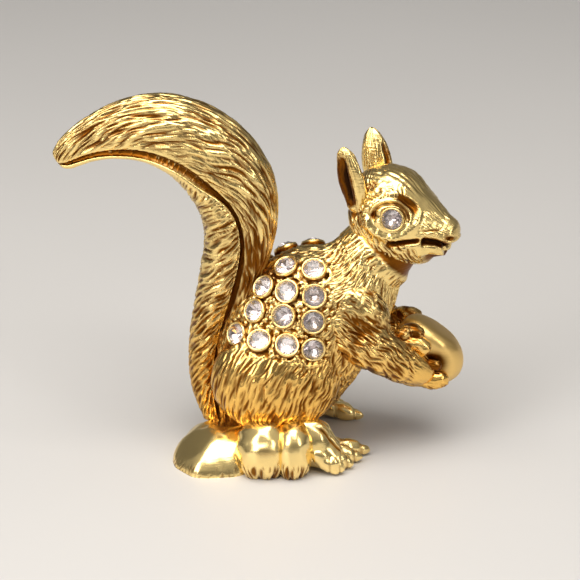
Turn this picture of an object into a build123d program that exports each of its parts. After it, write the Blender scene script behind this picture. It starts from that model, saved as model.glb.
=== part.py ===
from build123d import *

import os
from math import cos, radians, sin

# Squirrel figurine: polished castings with set cut-glass stones.
# The squirrel faces +X, its median plane is Y = 0 and it stands on Z = 0. Lengths are millimetres.

# Play between each set or spigoted piece and its seat
clearance = 0.05

# Stones, all of one size: a flat table, a crown, a girdle and a foiled back
stone_diameter = 3.0
stone_table_diameter = 1.7
stone_crown_height = 0.5
stone_girdle_height = 0.2
stone_back_depth = 1.0
stone_culet_diameter = 0.6
stone_sides = 16
cup_wall = 0.35
cup_stand = 0.3
cup_root = 1.6

# Torso, lofted from its underside to the face that the head sits on
torso_base_x = 1.0
torso_base_height = 6.0
torso_run = 16.0
torso_rise = 24.5
torso_depth = 22.4
torso_width = 20.0
torso_shares = (
    # run, rise, depth, width, lean of the section in degrees
    (0.000, 0.000, 0.49, 0.50, 5),
    (0.050, 0.118, 0.79, 0.82, 15),
    (0.150, 0.335, 0.98, 1.00, 24),
    (0.363, 0.567, 1.00, 0.98, 37),
    (0.619, 0.776, 0.82, 0.84, 44),
    (0.875, 0.865, 0.635, 0.66, 46),
    (1.000, 1.000, 0.535, 0.56, 46),
)

# Places of the stones on a flank, as shares of the torso's run and rise
flank_stone_shares = (
    (0.169, 0.990), (0.427, 0.995),
    (-0.035, 0.874), (0.180, 0.880), (0.432, 0.865),
    (-0.117, 0.743), (0.148, 0.747), (0.422, 0.722),
    (-0.285, 0.588), (-0.075, 0.605), (0.180, 0.585), (0.422, 0.553),
)

# Haunches, one each side of the torso
haunch_length = 19.4
haunch_width = 11.0
haunch_height = 17.2
haunch_spread = 14.0
haunch_run_share = 0.07
haunch_rise_share = 0.300

# Main fur cuts, egg-shaped strokes sunk in the skin
lock_length = 6.0
lock_width = 1.2
lock_depth = 2.0
lock_lift_share = 0.25
haunch_lock_shares = (
    # forwards and up from the haunch's middle
    (-0.62, 0.06),
    (-0.20, 0.06),
    (0.22, 0.06),
    (0.62, 0.06),
    (-0.41, -0.52),
    (0.00, -0.56),
    (0.42, -0.52),
)
chest_lock_stations = (2, 3, 4)
chest_lock_angle = -68.0

# Head, turned towards its right side, on a round spigot
head_length = 18.4
head_height = 15.2
head_width = 12.4
head_turn = 25.0
head_reach = 3.8
head_lift = 6.4
head_shares = (
    # along the head, middle's height, height, width
    (-0.430, 0.070, 0.26, 0.28),
    (-0.365, 0.040, 0.65, 0.70),
    (-0.160, 0.005, 0.99, 1.00),
    (0.045, -0.010, 0.96, 1.00),
    (0.237, -0.080, 0.72, 0.77),
    (0.390, -0.115, 0.52, 0.55),
    (0.475, -0.107, 0.42, 0.42),
    (0.515, -0.100, 0.32, 0.31),
    (0.535, -0.097, 0.17, 0.17),
)
neck_height = 6.0
neck_taper = 8.0
neck_spigot_diameter = 5.0
neck_spigot_length = 4.0
eye_along_share = 0.053
eye_up_share = 0.098
eye_lid_diameter = 4.5
eye_stand = 0.12
mouth_corner_share = 0.23
mouth_level_share = -0.135
mouth_gape_share = 0.085
jaw_tip_share = 0.475

# Ears, hollowed on their outer faces
ear_height = 8.1
ear_width = 5.2
ear_thickness = 2.8
ear_lean = 12.0
ear_splay = 5.0
ear_along_share = -0.30
ear_side_share = 0.37
ear_up_share = 0.217
ear_scoop_share = 0.74
ear_scoop_offset_share = 0.34
ear_shares = (
    # height, width, thickness
    (0.00, 0.74, 0.86),
    (0.30, 1.00, 1.00),
    (0.60, 0.88, 0.86),
    (0.85, 0.54, 0.58),
    (1.00, 0.16, 0.20),
)

# Tail, two furred lobes along one spine, on a round spigot
tail_base_x = -6.4
tail_base_height = 4.4
tail_reach = 24.0
tail_height = 46.2
tail_width = 13.0
tail_depth = 10.4
tail_shares = (
    # run back from the root, rise, width, share of the width under the rear lobe
    (0.000, 0.000, 0.40, 0.50),
    (0.030, 0.130, 0.58, 0.52),
    (0.018, 0.253, 0.65, 0.54),
    (-0.025, 0.377, 0.69, 0.58),
    (-0.080, 0.498, 0.74, 0.60),
    (-0.132, 0.621, 0.82, 0.56),
    (-0.134, 0.745, 0.95, 0.45),
    (-0.035, 0.866, 1.00, 0.31),
    (0.165, 0.963, 0.93, 0.23),
    (0.395, 1.000, 0.80, 0.20),
    (0.628, 0.987, 0.63, 0.21),
    (0.800, 0.950, 0.47, 0.25),
    (0.895, 0.918, 0.38, 0.29),
    (0.942, 0.899, 0.31, 0.34),
    (0.966, 0.889, 0.20, 0.40),
)
tail_lobe_swell = 1.16
tail_front_lock_stations = (5, 6, 7, 8, 9, 10, 11)
tail_front_lock_angles = ((-55.0, 0.0), (-28.0, 24.0))
tail_front_lock_slant = -10.0
tail_rear_lock_stations = (1, 2, 3, 4, 5)
tail_rear_lock_angles = ((8.0, 58.0), (32.0,))
tail_rear_lock_slant = 56.0
tail_rear_depth_share = 0.86
tail_spigot_diameter = 4.0
tail_spigot_root = 3.4
tail_spigot_length = 5.0
tail_spigot_rise_share = 0.24

# Nut held between the forepaws
nut_length = 12.4
nut_width = 8.6
nut_height = 9.4
nut_tilt = 55.0
nut_x = 25.7
nut_z = 15.6

# Forelegs, from a rounded shoulder to the nut
shoulder_length = 11.6
shoulder_width = 6.0
shoulder_height = 12.0
shoulder_x = 13.6
shoulder_y = 5.6
shoulder_z = 22.4
elbow_x = 12.8
elbow_y = 6.6
elbow_z = 21.0
foreleg_thickness = 9.2
foreleg_sag = 9.0
foreleg_shares = (
    # along, sag, thickness, bow outwards
    (0.00, 0.00, 0.62, 0.00),
    (0.22, 0.03, 0.82, 0.04),
    (0.52, 0.05, 0.76, 0.08),
    (0.80, 0.07, 0.70, 0.04),
    (1.02, 0.05, 0.70, 0.00),
    (1.18, 0.02, 0.52, 0.00),
    (1.27, 0.00, 0.20, 0.00),
)
paw_along_share = -0.19
paw_bed_share = 0.98
paw_drop_share = 0.10
finger_length = 6.0
finger_thickness = 2.6
finger_along_share = -0.02
finger_bed_share = 0.96
finger_height_shares = (0.145, -0.073, -0.290)

# Hind feet, both swung the same way
foot_length = 13.2
foot_width = 7.0
foot_height = 8.8
foot_x = 2.8
foot_y = 9.6
foot_swing = 4.0
left_foot_back = 1.1
foot_shares = (
    # along, middle's height, height, width
    (0.00, 0.20, 0.46, 0.50),
    (0.12, 0.38, 0.82, 0.80),
    (0.32, 0.47, 1.00, 0.90),
    (0.48, 0.35, 0.76, 0.96),
    (0.58, 0.27, 0.58, 1.00),
    (0.67, 0.20, 0.44, 0.98),
)
toe_count = 4
toe_length = 6.0
toe_thickness = 2.4
toe_height = 3.6
toe_fan = 7.0
toe_root_share = 0.45
toe_stagger = 1.5

# Ground piece beside and behind the feet: one low pad and one round nut with two lobes
pad_x = -4.6
pad_y = -4.9
pad_length = 20.0
pad_width = 14.4
pad_height = 6.0
pad_turn = 40.0
ground_nut_x = 2.1
ground_nut_y = -10.6
ground_nut_length = 11.6
ground_nut_width = 9.0
ground_nut_height = 7.9
ground_nut_lobe_shares = (0.70, 0.52)
ground_nut_middle_share = 0.46


def planes_along(points):
    """Section planes square to a spine through the points, with x across the figure."""
    planes = []
    last = len(points) - 1
    for index, point in enumerate(points):
        along = points[min(index + 1, last)] - points[max(index - 1, 0)]
        planes.append(Plane(origin=point, x_dir=(0, 1, 0), z_dir=along))
    return planes


def bead(length, width, height, pole_turn=0):
    """An egg-shaped solid of the given size, centred on the origin, with its poles turned about X."""
    with BuildPart() as egg:
        Sphere(1, rotation=(pole_turn, 0, 0))
        scale(by=(length / 2, width / 2, height / 2))
    return egg.part


def seat_plane(part, start, direction):
    """The plane touching a part where a line from start last leaves it, with z outwards."""
    line = Axis(start, direction)
    hits = part.find_intersection_points(line)
    point, normal = max(hits, key=lambda hit: (hit[0] - Vector(*start)).dot(line.direction))
    outward = normal if normal.dot(line.direction) > 0 else normal * -1
    return Plane(origin=point, z_dir=outward)


def lock_on_section(plane, middle, radii, angle, sign, slant):
    """Place of a fur cut on a section's ellipse, its length along the spine and then turned by the slant."""
    across, back = sign * cos(radians(angle)), sin(radians(angle))
    point = plane.from_local_coords((radii[0] * across, middle + radii[1] * back, 0))
    outward = (plane.x_dir * (across / radii[0]) + plane.y_dir * (back / radii[1])).normalized()
    seat = Plane(origin=point + outward * lock_lift_share * lock_depth, x_dir=plane.z_dir, z_dir=outward)
    return seat.location * Location((0, 0, 0), (0, 0, sign * slant))


def tail_lobe(station, rear):
    """Middle and half sizes of one lobe's ellipse in a section of the tail."""
    run, rise, width, cover = tail_shares[station]
    half = width * tail_width / 2
    across = (cover if rear else 1 - cover) * tail_lobe_swell * half
    depth = (tail_rear_depth_share if rear else 1) * width * tail_depth / 2
    return (half - across if rear else across - half), (depth, across)


def lock_on_haunch(run, rise, sign):
    """Place of an upright fur cut on one haunch."""
    half = (haunch_length / 2, haunch_width / 2, haunch_height / 2)
    out = (1 - run**2 - rise**2) ** 0.5
    shares = Vector(run, sign * out, rise)
    middle = Vector(haunch_x, sign * haunch_spread / 2, haunch_z)
    point = middle + Vector(shares.X * half[0], shares.Y * half[1], shares.Z * half[2])
    outward = Vector(shares.X / half[0], shares.Y / half[1], shares.Z / half[2]).normalized()
    seat = Plane(origin=point + outward * lock_lift_share * lock_depth, x_dir=(0, 0, 1), z_dir=outward)
    return seat.location


os.makedirs("parts", exist_ok=True)

# One stone, a stone's pocket and its raised cup, drawn about the top of the girdle
with BuildPart() as stone:
    with BuildSketch(Plane.XY.offset(stone_crown_height)):
        RegularPolygon(stone_table_diameter / 2, stone_sides)
    with BuildSketch(Plane.XY):
        RegularPolygon(stone_diameter / 2, stone_sides)
    loft(ruled=True)
    with BuildSketch(Plane.XY):
        RegularPolygon(stone_diameter / 2, stone_sides)
    extrude(amount=-stone_girdle_height)
    with BuildSketch(Plane.XY.offset(-stone_girdle_height)):
        RegularPolygon(stone_diameter / 2, stone_sides)
    with BuildSketch(Plane.XY.offset(-stone_girdle_height - stone_back_depth)):
        RegularPolygon(stone_culet_diameter / 2, stone_sides)
    loft(ruled=True)

pocket_radius = stone_diameter / 2 + clearance
pocket_rise = max(cup_stand, stone_crown_height) + clearance
with BuildPart() as pocket:
    with BuildSketch(Plane.XY.offset(pocket_rise)):
        Circle(pocket_radius)
    extrude(amount=-pocket_rise - stone_girdle_height - clearance)
    with BuildSketch(Plane.XY.offset(-stone_girdle_height - clearance)):
        Circle(pocket_radius)
    with BuildSketch(Plane.XY.offset(-stone_girdle_height - stone_back_depth - clearance)):
        Circle(stone_culet_diameter / 2 + clearance)
    loft(ruled=True)

with BuildPart() as cup:
    with BuildSketch(Plane.XY):
        Circle(pocket_radius + cup_wall)
    extrude(amount=-cup_root)

# The room that neighbouring castings leave around a cup and its stone
with BuildPart() as cup_room:
    with BuildSketch(Plane.XY.offset(stone_crown_height + clearance)):
        Circle(pocket_radius + cup_wall + clearance)
    extrude(amount=-stone_crown_height - cup_root - clearance)

with BuildPart() as lock_cut:
    add(bead(lock_length, lock_width, lock_depth, pole_turn=90))

# Torso and haunches in one casting
torso_planes = [
    Plane(
        origin=(torso_base_x + run * torso_run, 0, torso_base_height + rise * torso_rise),
        x_dir=(0, 1, 0),
        z_dir=Vector(0, 0, 1).rotate(Axis.Y, lean),
    )
    for run, rise, depth, width, lean in torso_shares
]
with BuildPart() as torso:
    for plane, (run, rise, depth, width, lean) in zip(torso_planes, torso_shares):
        with BuildSketch(plane):
            Ellipse(width * torso_width / 2, depth * torso_depth / 2)
    loft()

haunch_x = torso_base_x + haunch_run_share * torso_run
haunch_z = torso_base_height + haunch_rise_share * torso_rise
with BuildPart() as trunk:
    add(torso.part)
    with Locations((haunch_x, haunch_spread / 2, haunch_z), (haunch_x, -haunch_spread / 2, haunch_z)):
        add(bead(haunch_length, haunch_width, haunch_height, pole_turn=90))

flank_seats = {}
for side, sign in (("right", -1), ("left", 1)):
    flank_seats[side] = [
        seat_plane(
            trunk.part,
            (torso_base_x + run * torso_run, 0, torso_base_height + rise * torso_rise),
            (0, sign, 0),
        ).offset(cup_stand)
        for run, rise in flank_stone_shares
    ]

body_locks = [lock_on_haunch(run, rise, sign) for run, rise in haunch_lock_shares for sign in (-1, 1)]
for station in chest_lock_stations:
    run, rise, depth, width, lean = torso_shares[station]
    radii = (width * torso_width / 2, depth * torso_depth / 2)
    body_locks += [
        lock_on_section(torso_planes[station], 0, radii, chest_lock_angle, sign, 0) for sign in (-1, 1)
    ]

neck = torso_planes[-1]
tail_rise = tail_base_height + tail_spigot_rise_share * tail_height
tail_seat = Plane(origin=(tail_base_x - tail_spigot_root, 0, tail_rise), x_dir=(0, 1, 0), z_dir=(1, 0, 0))
with BuildPart() as body:
    add(trunk.part)
    for seat in flank_seats["right"] + flank_seats["left"]:
        with Locations(seat):
            add(cup.part)
    for seat in flank_seats["right"] + flank_seats["left"]:
        with Locations(seat):
            add(pocket.part, mode=Mode.SUBTRACT)
    with Locations(*body_locks):
        add(lock_cut.part, mode=Mode.SUBTRACT)
    with BuildSketch(neck):
        Circle(neck_spigot_diameter / 2 + clearance)
    extrude(amount=-neck_spigot_length - clearance, mode=Mode.SUBTRACT)
    with BuildSketch(tail_seat):
        Circle(tail_spigot_diameter / 2 + clearance)
    extrude(amount=tail_spigot_root + tail_spigot_length + clearance, mode=Mode.SUBTRACT)
body.part.label = "body"
export_step(body.part, "parts/body.step")

# Tail: a front lobe and a rear lobe with a crevice between them
tail_points = [
    Vector(tail_base_x - run * tail_reach, 0, tail_base_height + rise * tail_height)
    for run, rise, width, cover in tail_shares
]
tail_planes = planes_along(tail_points)
tail_lobes = []
for rear, stations, angles, slant in (
    (False, tail_front_lock_stations, tail_front_lock_angles, tail_front_lock_slant),
    (True, tail_rear_lock_stations, tail_rear_lock_angles, tail_rear_lock_slant),
):
    locks = [
        lock_on_section(tail_planes[station], *tail_lobe(station, rear), angle, sign, slant)
        for station in stations
        for angle in angles[station % 2]
        for sign in (-1, 1)
    ]
    with BuildPart() as lobe:
        for station, plane in enumerate(tail_planes):
            middle, (depth, across) = tail_lobe(station, rear)
            with BuildSketch(plane):
                # Two halves put the lofts' seams in the middle plane, away from the crease
                with BuildLine():
                    for start in (90, 270):
                        EllipticalCenterArc((0, middle), depth, across, start, arc_size=180)
                make_face()
        loft()
        with Locations(*locks):
            add(lock_cut.part, mode=Mode.SUBTRACT)
    tail_lobes.append(lobe.part)
with BuildPart() as tail_trim:
    add(tail_lobes)
    add(trunk.part, mode=Mode.SUBTRACT)
    for seat in flank_seats["right"] + flank_seats["left"]:
        with Locations(seat):
            add(cup_room.part, mode=Mode.SUBTRACT)
with BuildPart() as tail:
    add(tail_trim.part.solids().sort_by(SortBy.VOLUME)[-1])
    with BuildSketch(tail_seat):
        Circle(tail_spigot_diameter / 2)
    extrude(amount=tail_spigot_root + tail_spigot_length)
tail.part.label = "tail"
export_step(tail.part, "parts/tail.step")

# Head with its neck, ears, eye cups and mouth
head_centre = neck.origin + Vector(head_reach, 0, head_lift)
head_plane = Plane(head_centre).rotated((0, 0, -head_turn))
with BuildPart() as skull:
    for along, middle, height, width in head_shares:
        centre = head_plane.from_local_coords((along * head_length, 0, middle * head_height))
        with BuildSketch(Plane(centre, x_dir=head_plane.y_dir, z_dir=head_plane.x_dir)):
            Ellipse(width * head_width / 2, height * head_height / 2)
    loft()

eye_start = head_plane.from_local_coords((eye_along_share * head_length, 0, eye_up_share * head_height))
eye_seats = {
    side: seat_plane(skull.part, tuple(eye_start), tuple(head_plane.y_dir * sign)).offset(eye_stand)
    for side, sign in (("right", -1), ("left", 1))
}

with BuildPart() as ear:
    for rise, width, thickness in ear_shares:
        with BuildSketch(Plane.XY.offset(rise * ear_height)):
            Ellipse(width * ear_width / 2, thickness * ear_thickness / 2)
    loft()
    for rise, width, thickness in ear_shares:
        with BuildSketch(Plane.XY.offset(rise * ear_height)):
            with Locations((0, ear_scoop_offset_share * ear_thickness)):
                Ellipse(
                    ear_scoop_share * width * ear_width / 2,
                    ear_scoop_share * thickness * ear_thickness / 2,
                )
    loft(mode=Mode.SUBTRACT)

with BuildPart() as head:
    add(skull.part)
    with BuildSketch(neck):
        Ellipse(torso_shares[-1][3] * torso_width / 2, torso_shares[-1][2] * torso_depth / 2)
    extrude(amount=neck_height, taper=neck_taper)
    split(bisect_by=neck, keep=Keep.TOP)
    for sign in (-1, 1):
        root = head_plane.from_local_coords(
            (ear_along_share * head_length, sign * ear_side_share * head_width, ear_up_share * head_height)
        )
        turn = -head_turn if sign > 0 else 180 - head_turn
        lean = -ear_lean if sign > 0 else ear_lean
        with Locations(Location(root, (0, 0, turn)) * Location((0, 0, 0), (-ear_splay, lean, 0))):
            add(ear.part)
    for seat in eye_seats.values():
        with BuildSketch(seat):
            Circle(eye_lid_diameter / 2)
        extrude(amount=-cup_root)
    for seat in eye_seats.values():
        with Locations(seat):
            add(pocket.part, mode=Mode.SUBTRACT)
    with BuildSketch(Plane(head_centre, x_dir=head_plane.x_dir, z_dir=-head_plane.y_dir)):
        with BuildLine():
            Polyline(
                (mouth_corner_share * head_length, mouth_level_share * head_height),
                (head_length, mouth_level_share * head_height),
                (head_length, -head_height),
                (jaw_tip_share * head_length, -head_height),
                (jaw_tip_share * head_length, (mouth_level_share - mouth_gape_share) * head_height),
                close=True,
            )
        make_face()
    extrude(amount=head_width, both=True, mode=Mode.SUBTRACT)
    with BuildSketch(neck):
        Circle(neck_spigot_diameter / 2)
    extrude(amount=-neck_spigot_length)
head.part.label = "head"
export_step(head.part, "parts/head.step")

# Nut
with BuildPart() as nut:
    with Locations(Location((nut_x, 0, nut_z), (0, nut_tilt, 0))):
        add(bead(nut_length, nut_width, nut_height))
nut.part.label = "nut"
export_step(nut.part, "parts/nut.step")

# Forelegs: the right one is drawn, the left one is its mirror
elbow = Vector(elbow_x, -elbow_y, elbow_z)
paw = Vector(
    nut_x + paw_along_share * nut_length,
    -paw_bed_share * nut_width / 2,
    nut_z - paw_drop_share * nut_height,
)
foreleg_points = [
    elbow + (paw - elbow) * along - Vector(0, bow * foreleg_sag, sag * foreleg_sag)
    for along, sag, thickness, bow in foreleg_shares
]
with BuildPart() as right_foreleg:
    for plane, (along, sag, thickness, bow) in zip(planes_along(foreleg_points), foreleg_shares):
        with BuildSketch(plane):
            Circle(thickness * foreleg_thickness / 2)
    loft()
    with Locations((shoulder_x, -shoulder_y, shoulder_z)):
        add(bead(shoulder_length, shoulder_width, shoulder_height))
    for share in finger_height_shares:
        bed = nut_width / 2 * (1 - (2 * share) ** 2) ** 0.5
        place = (nut_x + finger_along_share * nut_length, -finger_bed_share * bed, nut_z + share * nut_length)
        with Locations(place):
            add(bead(finger_length, finger_thickness, finger_thickness))
    add(trunk.part, mode=Mode.SUBTRACT)
    for seat in flank_seats["right"]:
        with Locations(seat):
            add(cup_room.part, mode=Mode.SUBTRACT)
    add(nut.part, mode=Mode.SUBTRACT)
right_foreleg.part.label = "right_foreleg"
export_step(right_foreleg.part, "parts/right_foreleg.step")

with BuildPart() as left_foreleg:
    mirror(right_foreleg.part, about=Plane.XZ)
left_foreleg.part.label = "left_foreleg"
export_step(left_foreleg.part, "parts/left_foreleg.step")

# Hind feet: one foot drawn at the origin, then placed under each haunch
with BuildPart() as foot:
    for along, middle, height, width in foot_shares:
        centre = (along * foot_length, 0, middle * foot_height)
        with BuildSketch(Plane(centre, x_dir=(0, 1, 0), z_dir=(1, 0, 0))):
            Ellipse(width * foot_width / 2, height * foot_height / 2)
    loft()
    for index in range(toe_count):
        step = index - (toe_count - 1) / 2
        root = (
            toe_root_share * foot_length + toe_length / 2 + step * toe_stagger,
            step * foot_width / toe_count,
            toe_thickness / 2,
        )
        with Locations(Location(root, (0, 0, step * toe_fan))):
            add(bead(toe_length, toe_thickness, toe_height))
    split(bisect_by=Plane.XY, keep=Keep.TOP)

with BuildPart() as right_hind_foot:
    with Locations(Location((foot_x, -foot_y, 0), (0, 0, foot_swing))):
        add(foot.part)
    add(trunk.part, mode=Mode.SUBTRACT)
right_hind_foot.part.label = "right_hind_foot"
export_step(right_hind_foot.part, "parts/right_hind_foot.step")

with BuildPart() as left_foot:
    mirror(foot.part, about=Plane.XZ)
with BuildPart() as left_hind_foot:
    with Locations(Location((foot_x - left_foot_back, foot_y, 0), (0, 0, foot_swing))):
        add(left_foot.part)
    add(trunk.part, mode=Mode.SUBTRACT)
left_hind_foot.part.label = "left_hind_foot"
export_step(left_hind_foot.part, "parts/left_hind_foot.step")

# Ground piece under the near side
with BuildPart() as ground:
    with Locations(Location((pad_x, pad_y, 0), (0, 0, pad_turn))):
        add(bead(pad_length, pad_width, 2 * pad_height))
    for step, share in zip((-1, 1), ground_nut_lobe_shares):
        lobe = share * ground_nut_length
        place = (
            ground_nut_x + step * (ground_nut_length - lobe) / 2,
            ground_nut_y,
            ground_nut_middle_share * ground_nut_height,
        )
        with Locations(place):
            add(bead(lobe, ground_nut_width, 2 * (1 - ground_nut_middle_share) * ground_nut_height))
    split(bisect_by=Plane.XY, keep=Keep.TOP)
    add(trunk.part, mode=Mode.SUBTRACT)
    add(tail.part, mode=Mode.SUBTRACT)
    add(right_hind_foot.part, mode=Mode.SUBTRACT)
    add(left_hind_foot.part, mode=Mode.SUBTRACT)
ground.part.label = "ground"
export_step(ground.part, "parts/ground.step")

# Stones
for side, seats in flank_seats.items():
    for number, seat in enumerate(seats, start=1):
        with BuildPart() as flank_stone:
            with Locations(seat):
                add(stone.part)
        flank_stone.part.label = f"{side}_flank_stone_{number:02d}"
        export_step(flank_stone.part, f"parts/{side}_flank_stone_{number:02d}.step")
for side, seat in eye_seats.items():
    with BuildPart() as eye_stone:
        with Locations(seat):
            add(stone.part)
    eye_stone.part.label = f"{side}_eye_stone"
    export_step(eye_stone.part, f"parts/{side}_eye_stone.step")
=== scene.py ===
"""Looks of the squirrel figurine: furred and polished gold castings, set cut stones, studio and camera.

Shapes are worked out in the part's own frame: squirrel facing +X, median plane Y = 0, standing on Z = 0.
Lengths are in millimetres unless a line says otherwise, and turned into metres when a mesh is made.
"""

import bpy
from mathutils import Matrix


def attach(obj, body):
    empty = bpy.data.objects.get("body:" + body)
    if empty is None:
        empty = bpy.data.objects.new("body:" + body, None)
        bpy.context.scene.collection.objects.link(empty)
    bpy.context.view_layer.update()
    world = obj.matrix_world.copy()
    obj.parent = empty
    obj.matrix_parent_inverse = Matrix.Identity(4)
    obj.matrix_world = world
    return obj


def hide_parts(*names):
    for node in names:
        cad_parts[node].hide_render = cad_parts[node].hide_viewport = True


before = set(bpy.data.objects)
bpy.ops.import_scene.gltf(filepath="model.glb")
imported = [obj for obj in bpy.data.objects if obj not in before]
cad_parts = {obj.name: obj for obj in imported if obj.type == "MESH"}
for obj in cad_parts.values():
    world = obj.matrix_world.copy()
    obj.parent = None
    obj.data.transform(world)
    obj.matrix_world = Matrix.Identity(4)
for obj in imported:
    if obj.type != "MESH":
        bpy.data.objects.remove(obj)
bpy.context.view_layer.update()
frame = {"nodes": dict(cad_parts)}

import logging
import math
from dataclasses import Field, dataclass, field, replace
from enum import Enum

import bpy
import numpy as np
from mathutils import Matrix

LOG = logging.getLogger("squirrel")
MM = 0.001
BODY = "root"
Array = np.ndarray
Material = bpy.types.Material
Triple = tuple[float, float, float]
SIDEWAYS = np.array([0.0, 1.0, 0.0])
UPRIGHT = np.array([0.0, 0.0, 1.0])
# Angle left open at a pole, which a cap closes
POLE = 0.02
# Moves one side's pattern far away, so that the two sides don't share their strokes
APART = 300.0


class Side(Enum):
    """The two sides of the figure, with the sign of Y on each."""

    RIGHT = -1
    LEFT = 1


class Slot(Enum):
    """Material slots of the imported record."""

    FUR = "gold_fur"
    SMOOTH = "gold_smooth"
    STONE = "stone"


# Curves and rays


def table(*rows: tuple[float, ...]) -> Field:
    """A dataclass field that holds listed sections, one row each."""
    return field(default_factory=lambda: np.array(rows))


def unit(vectors: Array) -> Array:
    """Vectors brought to length one along their last axis."""
    return vectors / np.linalg.norm(vectors, axis=-1, keepdims=True)


def median(x: Array, z: Array) -> Array:
    """Points or directions on the median plane, from their X and Z."""
    return np.stack([x, 0 * x, z], -1)


def cos_sin(degrees: float) -> tuple[float, float]:
    """Cosine and sine of an angle in degrees."""
    return math.cos(math.radians(degrees)), math.sin(math.radians(degrees))


def run_of(path: Array) -> Array:
    """Distance along a path at each of its points: the summed lengths of its stretches."""
    return np.concatenate([[0], np.cumsum(np.linalg.norm(np.diff(path, axis=0), axis=1))])


def close_at_ends(low: float, high: float, rows: int, skip: float = POLE) -> Array:
    """Positions that lie closer at both ends: half of one minus the cosine of an even half turn."""
    return low + (high - low) * (1 - np.cos(np.linspace(skip, np.pi - skip, rows))) / 2


def curve_through(knots: Array, values: Array, at: Array) -> Array:
    """Cubic curve through values at knots: Hermite pieces whose slopes are weighted central differences.

    Args:
        knots: Rising positions, shape (K,).
        values: What the curve passes through, shape (K, D).
        at: Where it is read, shape (N,).

    Returns:
        The curve's values, shape (N, D).
    """
    span = np.diff(knots)[:, None]
    rate = np.diff(values, axis=0) / span
    inner = (span[1:] * rate[:-1] + span[:-1] * rate[1:]) / (span[1:] + span[:-1])
    slope = np.concatenate([rate[:1], inner, rate[-1:]])
    i = np.clip(np.searchsorted(knots, at, side="right") - 1, 0, len(knots) - 2)
    h = span[i]
    t = ((at - knots[i])[:, None]) / h
    return (
        (2 * t**3 - 3 * t**2 + 1) * values[i]
        + (t**3 - 2 * t**2 + t) * h * slope[i]
        + (3 * t**2 - 2 * t**3) * values[i + 1]
        + (t**3 - t**2) * h * slope[i + 1]
    )


def round_ended(knots: Array, sizes: Array, at: Array, least: float = 1e-5) -> Array:
    """Sizes that close roundly at the ends: the root of a curve through their squares, not under a least."""
    return np.sqrt(np.maximum(curve_through(knots, sizes**2, at), least))


def around(count: int) -> Array:
    """Evenly spaced angles of a full turn, as one row."""
    return np.linspace(0, 2 * np.pi, count, endpoint=False)[None, :]


def wrapped(angle: Array) -> Array:
    """Angles brought to within half a turn of zero."""
    return (angle + np.pi) % (2 * np.pi) - np.pi


def rays(turn: Array, first: Array, second: Array) -> Array:
    """Directions at angles from a first direction towards a second: their sum weighted by cosine and sine."""
    return first * np.cos(turn)[..., None] + second * np.sin(turn)[..., None]


def ellipse(turn: Array, wide: Array, high: Array) -> Array:
    """Distance from an ellipse's middle to its edge: one over the root of the summed squared shares."""
    return 1 / np.sqrt((np.cos(turn) / wide) ** 2 + (np.sin(turn) / high) ** 2)


def far_root(start: Array, way: Array) -> Array:
    """Distance at which a ray last leaves the unit ball: the larger root of |start + r way| = 1.

    Args:
        start: Ray starts in the ball's own scaled axes, shape (..., D).
        way: Ray directions in the same axes, shape (..., D).

    Returns:
        Distances along the rays, 0 where a ray misses.
    """
    a = (way * way).sum(-1)
    b = -(start * way).sum(-1)
    c = (start * start).sum(-1) - 1.0
    under = b * b - a * c
    root = (b + np.sqrt(np.maximum(under, 0.0))) / a
    return np.where(under > 0, np.maximum(root, 0.0), 0.0)


def square_axes(spine: Array, side_way: Array) -> tuple[Array, Array]:
    """Directions square to a path: up is its direction crossed with sideways, side is up crossed with it.

    Args:
        spine: Points of the path, shape (N, 3).
        side_way: Roughly sideways direction.

    Returns:
        The sideways and the upward direction at each point, shape (N, 3).
    """
    ahead = unit(np.gradient(spine, axis=0))
    up = unit(np.cross(ahead, side_way))
    return np.cross(up, ahead), up


# Masks and noise


def step(value: Array, low: float, high: float) -> Array:
    """Smooth step from 0 at low to 1 at high: 3 t squared minus 2 t cubed."""
    t = np.clip((value - low) / (high - low), 0.0, 1.0)
    return t * t * (3 - 2 * t)


def between(value: Array, start: float, full: float, wane: float, end: float) -> Array:
    """Smooth rise from start to full, and fall from wane to end."""
    return step(value, start, full) * (1 - step(value, wane, end))


def bell(value: Array, width: float) -> Array:
    """Bell curve of unit height: exp of minus the squared share of width."""
    return np.exp(-((value / width) ** 2))


def blot(a: Array, b: Array, middle: tuple[float, float], radii: tuple[float, float]) -> Array:
    """Egg-shaped bell of unit height on two coordinates."""
    return bell(np.hypot((a - middle[0]) / radii[0], (b - middle[1]) / radii[1]), 1.0)


def soft_max(a: Array, b: Array, reach: float) -> Array:
    """Larger of two values, rounded by a parabola where they differ by less than reach."""
    h = np.maximum(reach - np.abs(a - b), 0.0) / reach
    return np.maximum(a, b) + h * h * reach / 4


def chance(i: Array, j: Array, seed: int) -> Array:
    """Repeatable numbers for whole-number cells: the cell's indices mixed by odd factors and shifts.

    Args:
        i: First index of each cell.
        j: Second index of each cell.
        seed: Which set of numbers.

    Returns:
        Numbers from 0 to 1.
    """
    mask = np.uint64(0xFFFFFFFF)
    a = (np.asarray(i).astype(np.int64) + 100000).astype(np.uint64)
    b = (np.asarray(j).astype(np.int64) + 100000).astype(np.uint64)
    x = a * np.uint64(374761393) + b * np.uint64(668265263)
    x = (x + np.uint64(seed * 2654435) * np.uint64(40503)) & mask
    x = ((x ^ (x >> np.uint64(13))) * np.uint64(1274126177)) & mask
    x = ((x ^ (x >> np.uint64(15))) * np.uint64(2246822519)) & mask
    return ((x ^ (x >> np.uint64(16))) & mask).astype(float) / 2.0**32


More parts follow.
